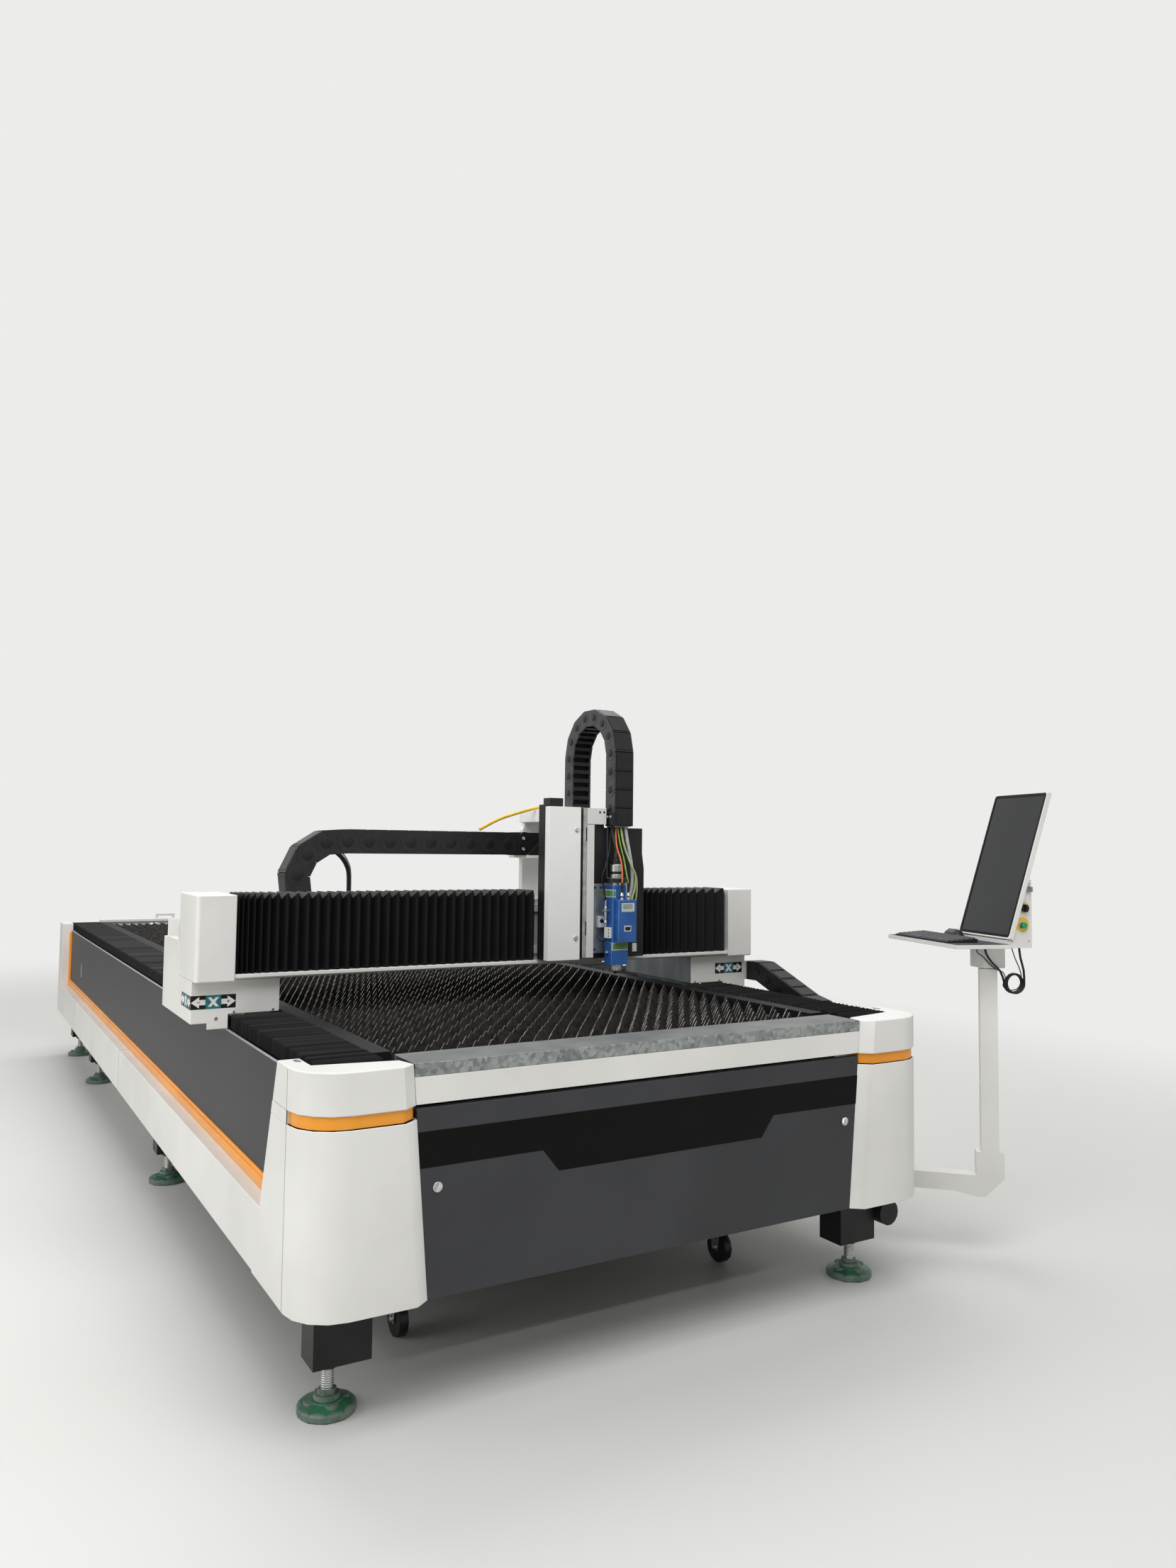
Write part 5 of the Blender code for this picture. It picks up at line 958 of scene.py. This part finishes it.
def link_shape(pitch, tall, wide):
    """One link along its first axis: two side plates, a closed lid outside and two bars inside."""
    half, reach, edge = tall / 2, pitch / 2 - 0.0018, wide / 2 - BOSS_ROOM
    lid = half - 0.0022
    shell = [
        slab((-reach, -edge, -half), (reach, -edge + 0.005, lid + 0.001)),
        slab((-reach, edge - 0.005, -half), (reach, edge, lid + 0.001)),
        slab((-reach - 0.0002, -edge + 0.002, lid - 0.004), (reach + 0.0002, edge - 0.002, lid)),
        slab((-reach * 0.80, -edge * 0.84, lid - 0.001), (reach * 0.80, edge * 0.84, half)),
    ]
    for at in (-pitch * 0.24, pitch * 0.24):
        shell.append(slab((at - pitch * 0.11, -edge + 0.002, -half + 0.0008),
                          (at + pitch * 0.11, edge - 0.002, -half + 0.005)))
    core = slab((-pitch / 2, -edge + 0.006, -half * 0.45), (pitch / 2, edge - 0.006, lid - 0.005))
    return shell, core


def joint_shape(tall, wide):
    """The low round bosses at a joint, one a side, and the dark pins in the middle of them."""
    rim, edge = tall / 2 * 0.90, wide / 2 - BOSS_ROOM
    boss = [(rim, -0.003), (rim, 0.0010)]
    pin = [(rim * 0.52, 0.0), (rim * 0.52, 0.0026), (rim * 0.44, 0.0034)]
    return [joined(spun(shape, 20, (0, edge, 0), BACK), spun(shape, 20, (0, -edge, 0), FRONT))
            for shape in (boss, pin)]


def chained(points, pitch, tall, wide, side):
    """Chain of equal links, each bent at its joints to the bisector of the two directions.

    A vertex is middle + t' direction + w side + h normal, where
    t' = t + h (u tan(next / 2) - (1 - u) tan(last / 2)) and u is its place along the link from
    0 to 1. Returns the shape, each vertex's place along the chain from 0 to 1, each face's
    finish (0 plate, 1 core, 2 lid, bar or pin) and the length.
    """
    points, side = np.asarray(points, float), np.asarray(side, float)
    steps = np.linalg.norm(np.diff(points, axis=0), axis=1)
    reached = np.concatenate([[0.0], np.cumsum(steps)])
    count = round(reached[-1] / pitch)
    ends = np.linspace(0, reached[-1], count + 1)
    joints = np.stack([np.interp(ends, reached, points[:, k]) for k in range(3)], 1)
    middles = (joints[:-1] + joints[1:]) / 2
    direction = np.diff(joints, axis=0)
    length = np.linalg.norm(direction, axis=1, keepdims=True)
    direction /= length
    normal = np.cross(direction, side)
    turn = np.arcsin(np.clip(-(direction[1:] * normal[:-1]).sum(1), -1, 1))
    after, before = np.append(turn, 0.0)[:, None], np.insert(turn, 0, 0.0)[:, None]

    shell, core = link_shape(float(length.mean()), tall, wide)
    base, faces = joined(*shell, core)
    t, w, h = base[None, :, 0], base[None, :, 1:2], base[None, :, 2]
    share = t / length.mean() + 0.5
    bent = t + h * (share * np.tan(after / 2) - (1 - share) * np.tan(before / 2))
    laid = (middles[:, None] + bent[..., None] * direction[:, None] + w * side
            + h[..., None] * normal[:, None])
    shapes = [(link, faces) for link in laid]
    places = [((np.arange(count)[:, None] + share) / count).ravel()]
    slots = np.repeat([0, 0, 2, 2, 2, 2, 1], [len(each[1]) for each in (*shell, core)])
    finish = [np.tile(slots, count)]

    boss, pin = joint_shape(tall, wide)
    base, faces = joined(boss, pin)
    along = np.concatenate([direction[:1], direction])
    laid = (joints[:, None] + base[None, :, :1] * along[:, None] + base[None, :, 1:2] * side
            + base[None, :, 2:] * np.cross(along, side)[:, None])
    shapes += [(bosses, faces) for bosses in laid[1:-1]]
    places.append(np.repeat(np.arange(1, count) / count, len(base)))
    finish.append(np.tile(np.where(np.arange(len(faces)) < len(boss[1]), 0, 2), count - 1))
    return joined(*shapes), np.concatenate(places), np.concatenate(finish), float(reached[-1])


def chain_piece(name, node, points, pitch, tall, wide, side, joint_axis, plates):
    """A chain of links, made as one piece on no body in place of a source node.
    """
    shape, places, finish, length = chained(points, pitch, tall, wide, side)
    made = new_mesh(name, shape, (plates, CORE, PLASTIC), finish)
    cleaned(made.data, weld=0.0)
    shaded(made)
    high = ROW.copy()
    high[joint_axis] += 1.0
    shared(made)
    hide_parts(node)


def build_chains():
    """Chains along the beam, over the carriage and along the bed, with their end brackets."""
    middle = (1.2885 + 1.400) / 2
    bend = [(x, middle, z) for x, z in arc((-0.600, 1.365), 0.149, 270, 90)]
    chain_piece("beam_link_chain", "beam_chain",
                [(-0.100, middle, 1.216), *bend, (0.200, middle, 1.514)],
                0.086, 0.092, 0.1115, BACK, 0, NYLON)
    middle = (0.379 + 0.474) / 2
    bend = [(middle, y, z) for y, z in arc((1.098, 1.869), 0.165, 0, 180)]
    # Its side plates take the paler nylon, painted light for their lit side.
    chain_piece("lifting_link_chain", "z_chain",
                [(middle, 1.263, 1.6553), *bend, (middle, 0.933, 1.585)],
                0.073, 0.066, 0.095, RIGHT, 2, LIT_NYLON)
    middle = (1.172 + 1.267) / 2
    bend = [(middle, y, z) for y, z in arc((0.660, 0.775), 0.080, 270, 90)]
    path = [(middle, 2.500, 0.695), *bend, (middle, 0.690, 0.859), (middle, 0.985, 0.975),
            (middle, 1.060, 0.975)]
    chain_piece("bed_link_chain", "bed_chain", path,
                0.0750, 0.080, 0.095, LEFT, 1, NYLON)
    parts = [(slab((0.374, 0.900, 1.585), (0.392, 0.9485, 1.640)), PLASTIC),
             *screws(mm((374, 912, 1622), (374, 936, 1622)), LEFT, 0.006, 0.004, STEEL)]
    piece("lifting_chain_bracket", "z_slide", parts, bevel=0.001)
    face = mm((166, 1466), (200, 1466), (200, 1562), (180, 1562), (166, 1548))
    plate = mm((199, 1468), (292, 1468), (292, 1560), (199, 1560))
    rib = mm((206, 1472), (288, 1472), (288, 1548))
    parts = [(extruded(face, "Y", 1.2842, 1.4045), PLASTIC),
             (extruded(plate, "Y", 1.2880, 1.4000), PLASTIC),
             (extruded(rib, "Y", 1.2825, 1.2900), NYLON),
             *screws(mm((183, 1284.2, 1492), (183, 1284.2, 1536)), FRONT, 0.007, 0.004, STEEL)]
    piece("beam_chain_bracket", "head_carriage", parts, bevel=0.001)


# Gantry


def axis_label(origin, across):
    """Direction sign: a letter between two arrows marked minus and plus, as thin coats."""
    def coat(outline, low, high):
        return patch(outline, origin, across, UP, low, high)

    parts = [(coat(oblong(0.145, 0.045), -0.0008, 0.0003), SIGN_BLACK),
             (coat(oblong(0.049, 0.045), -0.0006, 0.0006), TEAL)]
    bar = [(-0.018, -0.015), (-0.007, -0.015), (0.018, 0.015), (0.007, 0.015)]
    arrow = [(-0.023, 0.0), (0.003, -0.0184), (0.003, -0.0086), (0.023, -0.0086), (0.023, 0.0086),
             (0.003, 0.0086), (0.003, 0.0184)]
    for lean in (1, -1):
        stroke = coat([(x * lean, y) for x, y in bar[::lean]], -0.0004, 0.0009 + lean * 0.00003)
        parts.append((stroke, SIGN_WHITE))
    for lean in (1, -1):
        pointer = coat([((x - 0.0485) * lean, y) for x, y in arrow[::lean]], -0.0005, 0.0006)
        parts.append((pointer, SIGN_WHITE))
    for u, wide, tall in ((-0.048, 0.011, 0.0022), (0.048, 0.011, 0.0024), (0.048, 0.0024, 0.011)):
        parts.append((coat(oblong(wide, tall, (u, 0.0)), -0.0004, 0.0009 + tall * 0.002), SIGN_RED))
    return parts


def build_gantry_details():
    """Direction signs and screws on the gantry's end boxes."""
    parts = [*axis_label((-1.085, 1.050, 0.9765), RIGHT),
             *axis_label((-1.157, 1.1275, 0.9755), FRONT),
             *axis_label((1.0685, 1.050, 0.9905), RIGHT)]
    piece("axis_labels", "gantry", parts)
    parts = [*screws([(1.076, 1.050, 0.921)], FRONT, 0.006, 0.003, STEEL),
             *screws([(1.018, 1.050, 0.940), (0.888, 1.050, 0.940)], FRONT, 0.0045, 0.003, STEEL)]
    piece("gantry_screws", "gantry", both_sides(*parts))


def build_carriage_details():
    """Guide strips, covers and screws on the front of the head's carriage."""
    parts = [
        (slab((0.262, 0.934, 1.075), (0.2805, 0.9497, 1.655)), STEEL),
        (slab((0.2807, 0.934, 1.075), (0.313, 0.9415, 1.590)), WHITE),
        (slab((0.2807, 0.934, 1.592), (0.367, 0.9497, 1.655)), WHITE),
        (slab((0.502, 0.946, 1.090), (0.5225, 0.9505, 1.123)), WHITE),
        (slab((0.2745, 0.9335, 1.525), (0.280, 0.936, 1.579)), PLASTIC),
        (slab((0.2745, 0.9335, 1.161), (0.280, 0.936, 1.215)), PLASTIC),
        *screws([(0.252, 0.9497, z) for z in (1.570, 1.537, 1.209, 1.168)], FRONT, 0.0055, 0.004,
                PLASTIC),
        *screws([(x, 0.934, 1.640) for x in (0.337, 0.356)], FRONT, 0.004, 0.003, PLASTIC),
    ]
    piece("carriage_strips", "head_carriage", parts, bevel=0.0008)
    parts = [(slab((0.3793, 0.9421, 1.363), (0.4738, 0.9432, 1.584)), PLASTIC),
             *screws(mm((323, 942.5, 1345), (323, 942.5, 1105), (350, 942.5, 1345)), FRONT,
                     0.0045, 0.003, PLASTIC)]
    piece("slide_fittings", "z_slide", parts, bevel=0.0005)


# Cutting head

# The head's own upright axis.
HEAD_X, HEAD_Y = 0.394, 0.900


def build_head():
    """Blue housings, collimator, fittings and nozzle of the cutting head."""
    boxes = [
        (slab((0.358, 0.874, 1.049), (0.434, 0.926, 1.1365)), BLUE),
        (slab((0.363, 0.873, 1.1370), (0.422, 0.9422, 1.356)), BLUE),
        (slab((0.372, 0.845, 1.1372), (0.454, 0.905, 1.300)), BLUE),
    ]
    made = piece("head_housings", "z_slide", boxes, bevel=0.0013, stands_for=["cutting_head"])
    made.data.materials.append(BLUE_EDGE)
    made.modifiers["edge"].material = len(made.data.materials) - 1

    collar = mm((39.5, 1366), (39.5, 1380), (37, 1382.5))
    bright = mm((25, 1382), (25, 1398), (22, 1400), (22, 1407), (25, 1409), (25, 1434), (21, 1438))
    boot = mm((19.5, 1437), (19.5, 1452), (16, 1456), (16, 1470), (10.5, 1490))
    parts = [
        (slab((0.3635, 0.8735, 1.356), (0.4215, 0.942, 1.366)), STEEL),
        (turned(collar, 32, HEAD_X, HEAD_Y), PLASTIC),
        (turned(bright, 32, HEAD_X, HEAD_Y), STEEL),
        (turned(mm((23.2, 1399), (23.2, 1408)), 32, HEAD_X, HEAD_Y), PLASTIC),
        (turned(boot, 24, HEAD_X, HEAD_Y), PLASTIC),
    ]
    spots = ring_points(0.0325, 8, (HEAD_X, HEAD_Y), math.radians(22.5))
    parts += screws([(x, y, 1.3825) for x, y in spots], UP, 0.0028, 0.0018, STEEL)
    fitting = mm((7.8, 1299), (7.8, 1305), (4.5, 1307), (4.5, 1310), (6.6, 1313), (7, 1317),
                 (5.6, 1322), (4, 1325), (4, 1330))
    for x in (0.394, 0.4235):
        parts.append((turned(fitting, 16, x, 0.859), CHROME))
        parts.append((turned(mm((4.6, 1329), (4.6, 1362), (4, 1366)), 14, x, 0.8575), PLASTIC))
    piece("collimator", "z_slide", parts, bevel=0.0004)

    parts = []
    for outline, origin, across, low, high, finish in (
        (oblong(0.064, 0.030), (0.363, 0.9080, 1.324), FRONT, -0.0005, 0.0003, LABEL_RIM),
        (oblong(0.062, 0.022), (0.363, 0.9080, 1.324), FRONT, -0.0004, 0.0005, GREEN_BAND),
        (oblong(0.0115, 0.030), (0.3697, 0.873, 1.324), RIGHT, -0.0005, 0.0003, LABEL_RIM),
        (oblong(0.0095, 0.022), (0.3697, 0.873, 1.324), RIGHT, -0.0004, 0.0005, GREEN_BAND),
        (oblong(0.0735, 0.0290), (0.396, 0.874, 1.1195), RIGHT, -0.0005, 0.0003, LABEL_RIM),
        (oblong(0.0665, 0.0225), (0.3985, 0.874, 1.1205), RIGHT, -0.0004, 0.0005, GREEN_BAND),
        (oblong(0.0592, 0.0340), (0.4140, 0.845, 1.2715), RIGHT, -0.0005, 0.0012, DISPLAY),
        (oblong(0.0425, 0.0195), (0.4125, 0.845, 1.2752), RIGHT, -0.0004, 0.0016, LCD),
        (rounded((-0.0162, -0.0115), (0.0162, 0.0115), 0.002, 2), (0.413, 0.845, 1.190), RIGHT,
         -0.0005, 0.0014, DISPLAY),
        ([(-0.0120, 0.0068), (-0.0100, -0.0062), (0.0100, -0.0062), (0.0120, 0.0068)],
         (0.413, 0.845, 1.190), RIGHT, -0.0004, 0.0030, PLASTIC),
    ):
        parts.append((patch(outline, origin, across, UP, low, high), finish))
    parts += [
        *screws([(0.413 + u, 0.8436, 1.190) for u in (-0.0138, 0.0138)], FRONT, 0.0014, 0.0018,
                STEEL),
        *screws([(0.414 + u, 0.8438, 1.2715 + v) for u in (-0.0264, 0.0264)
                 for v in (-0.0145, 0.0145)], FRONT, 0.0012, 0.0008, STEEL),
        *screws(mm((377.5, 845, 1290), (377.5, 845, 1147), (448.5, 845, 1147), (448.5, 845, 1290)),
                FRONT, 0.0020, 0.0006, BLUE),
    ]
    piece("head_labels", "z_slide", parts)

    valve = mm((4, 1194), (4, 1205.2), (7.5, 1207.5), (7.5, 1216), (5, 1218), (5, 1240),
               (6.5, 1243), (6.5, 1270), (4.5, 1272), (4.5, 1296))
    plug = mm((8.5, -1), (8.5, 6), (6, 8), (6, 12))
    parts = [
        (slab((0.348, 0.880, 1.152), (0.3628, 0.912, 1.193)), WHITE),
        (slab((0.331, 0.9255, 1.191), (0.3628, 0.9424, 1.235)), DISPLAY),
        (spun(mm((8.5, -1), (8.5, 1.2)), 18, (0.345, 0.9255, 1.216), FRONT), PLASTIC),
        (slab((0.336, 0.895, 1.254), (0.3630, 0.915, 1.2600)), STEEL),
        (turned(valve, 14, 0.350, 0.905), CHROME),
        (spun(plug, 6, (0.358, 0.900, 1.095), LEFT), STEEL),
    ]
    for z in (1.160, 1.1725, 1.185):
        parts.append((slab((0.3476, 0.8796, z - 0.0035), (0.3500, 0.8830, z + 0.0035)), PLASTIC))
    piece("head_connectors", "z_slide", parts, bevel=0.0008)

    barrel = mm((25, 1048.8), (25, 1045.5), (23.8, 1044), (23.8, 1035), (25.2, 1034),
                (25.2, 1026.5), (22.5, 1024), (14, 1022.5), (11, 1019.5), (4.2, 1013.5),
                (1.2, 1013.5), (1, 1015))
    parts = [(turned(barrel, 32, HEAD_X, HEAD_Y), STEEL)]
    for out in ring_points(1.0, 12):
        foot = (HEAD_X + 0.0250 * out[0], HEAD_Y + 0.0250 * out[1], 1.0303)
        parts.append((spun(mm((2.2, -1), (2.2, 0.8)), 8, foot, (*out, 0)), PLASTIC))
    piece("nozzle_barrel", "z_slide", parts, stands_for=["nozzle"])


# Console

SCREEN_WIDE, SCREEN_TALL, SCREEN_DEEP = 0.335, 0.572, 0.018
SCREEN_FOOT, SCREEN_TILT = (0.0, -0.020, 1.184), -17.4
# The keyboard's box, and the key widths of its six rows from the user's side.
KEYS_LOW, KEYS_HIGH, KEYS_FRONT, KEYS_BACK = 1.1653, 1.1853, -0.225, -0.098
KEY_ROWS = [
    [1.3, 1.0, 1.3, 5.6, 1.2, 1.0, 1.2, 1.4, 1.0, 2.0, 1.0, 1.0],
    *[[1.6] + [1.0] * 12 + [1.4] + [1.0] * 4] * 2,
    *[[1.0] * 19] * 3,
]
CASE_SIDE = 0.155


def console_piece(name, parts, matrix=CONSOLE, **more):
    """Piece from parts in the console's own axes."""
    piece(name, "console", placed(parts, matrix), **more)


def build_console():
    """Screen, keyboard, mouse and controls in the console's own axes, then moved to its place."""
    def outline(inset, radius):
        half = SCREEN_WIDE / 2 - inset
        return rounded((-half, inset), (half, SCREEN_TALL - inset), radius, 3)

    vents = [slab((-0.115 + k * 0.010, SCREEN_DEEP - 0.001, 0.420),
                  (-0.110 + k * 0.010, SCREEN_DEEP + 0.0003, 0.520)) for k in range(24)]
    tilt = Matrix.Rotation(math.radians(SCREEN_TILT), 4, "X")
    console_piece("monitor_unit", [
        (extruded(outline(0.0, 0.006), "Y", 0.0022, SCREEN_DEEP), WHITE),
        (ring_plate(outline(0.0, 0.006), outline(0.0050, 0.0110), "Y", 0.0002, 0.0030), WHITE),
        (ring_plate(outline(0.0051, 0.0110), outline(0.0160, 0.0015), "Y", 0.0, 0.0030), MOTIF),
        (extruded(outline(0.0155, 0.0015), "Y", 0.0016, 0.0032), GLASS),
        (joined(*vents), SEAM),
    ], CONSOLE @ Matrix.Translation(SCREEN_FOOT) @ tilt, bevel=0.0006, stands_for=["monitor"])

    rear_top, front_top = KEYS_HIGH - 0.006, KEYS_LOW + 0.005
    side = [(KEYS_FRONT, KEYS_LOW), (KEYS_BACK, KEYS_LOW), (KEYS_BACK, rear_top),
            (KEYS_FRONT, front_top)]
    slope = (rear_top - front_top) / (KEYS_BACK - KEYS_FRONT)
    keys = []
    for row, shares in enumerate(KEY_ROWS):
        x, y = -0.2855, KEYS_FRONT + 0.006 + row * 0.0198
        base = KEYS_LOW + 0.0045 + slope * (y - KEYS_FRONT)
        for share in shares:
            wide = 0.3705 / sum(shares) * share
            foot = oblong(wide - 0.0025, 0.0165, (x + wide / 2, y + 0.0085))
            crown = oblong(wide - 0.0065, 0.0120, (x + wide / 2, y + 0.0092))
            rings = set_along([foot, crown], "Z", (base, base + 0.0058))
            rings[..., 2] += slope * np.array([-0.008, -0.008, 0.008, 0.008])
            keys.append(skinned(rings))
            x += wide
    case = extruded(side, "X", -0.290, 0.090)
    console_piece("keyboard_unit", [(case, PLASTIC), (joined(*keys), KEYCAP)], bevel=0.0006,
                  stands_for=["keyboard"])

    rise = np.sin(np.linspace(0, math.pi / 2, 9))
    share = np.append(0.92, np.sqrt(np.clip(1 - (rise * 0.94) ** 2.4, 0, 1)))
    height = np.append(0.0, 0.004 + rise * 0.030)
    plan = ring_points(1.0, 28)
    plan[:, 0] = np.sign(plan[:, 0]) * np.abs(plan[:, 0]) ** 0.8
    flat = (-0.130, -0.062) + plan[None] * share[:, None, None] * (0.052, 0.030)
    wheel = spun(mm((6, -2.5), (7, 0), (6, 2.5)), 16, (-0.160, -0.062, KEYS_LOW + 0.0285), BACK)
    shell = skinned(set_along(flat, "Z", KEYS_LOW + height))
    console_piece("mouse_body", [(shell, PLASTIC), (wheel, KEYCAP)], stands_for=["mouse"],
                  smooth=SHARP_MOUSE)

    parts = []
    for outer, inner, centre, high, finish in (
        (0.028, 0.0150, (0.044, 1.235), 0.0006, YELLOW),
        (0.0215, 0.0150, (0.052, 1.297), 0.0006, YELLOW),
        (0.0152, 0.0093, (0.044, 1.233), 0.0078, CHROME),
        (0.0165, 0.0146, (0.052, 1.296), 0.0040, CHROME),
        (0.0145, 0.0110, (0.068, 1.366), 0.0045, CHROME),
    ):
        rims = (ring_points(radius, 32, centre) for radius in (outer, inner))
        parts.append((ring_plate(*rims, "X", CASE_SIDE - 0.001, CASE_SIDE + high), finish))
    spots = ((0.000, 1.176), (0.070, 1.176), (0.074, 1.386))
    parts += screws([(CASE_SIDE, *spot) for spot in spots], RIGHT, 0.0035, 0.002, STEEL)
    console_piece("control_collars", parts, bevel=0.0003)


look_from_photo()
build_cords()
studio()
build_sheets()
build_bands()
build_motif()
build_locks()
build_bed_details()
build_slats()
build_bed_bellows()
build_beam_bellows()
build_chains()
build_gantry_details()
build_carriage_details()
build_head()
build_console()
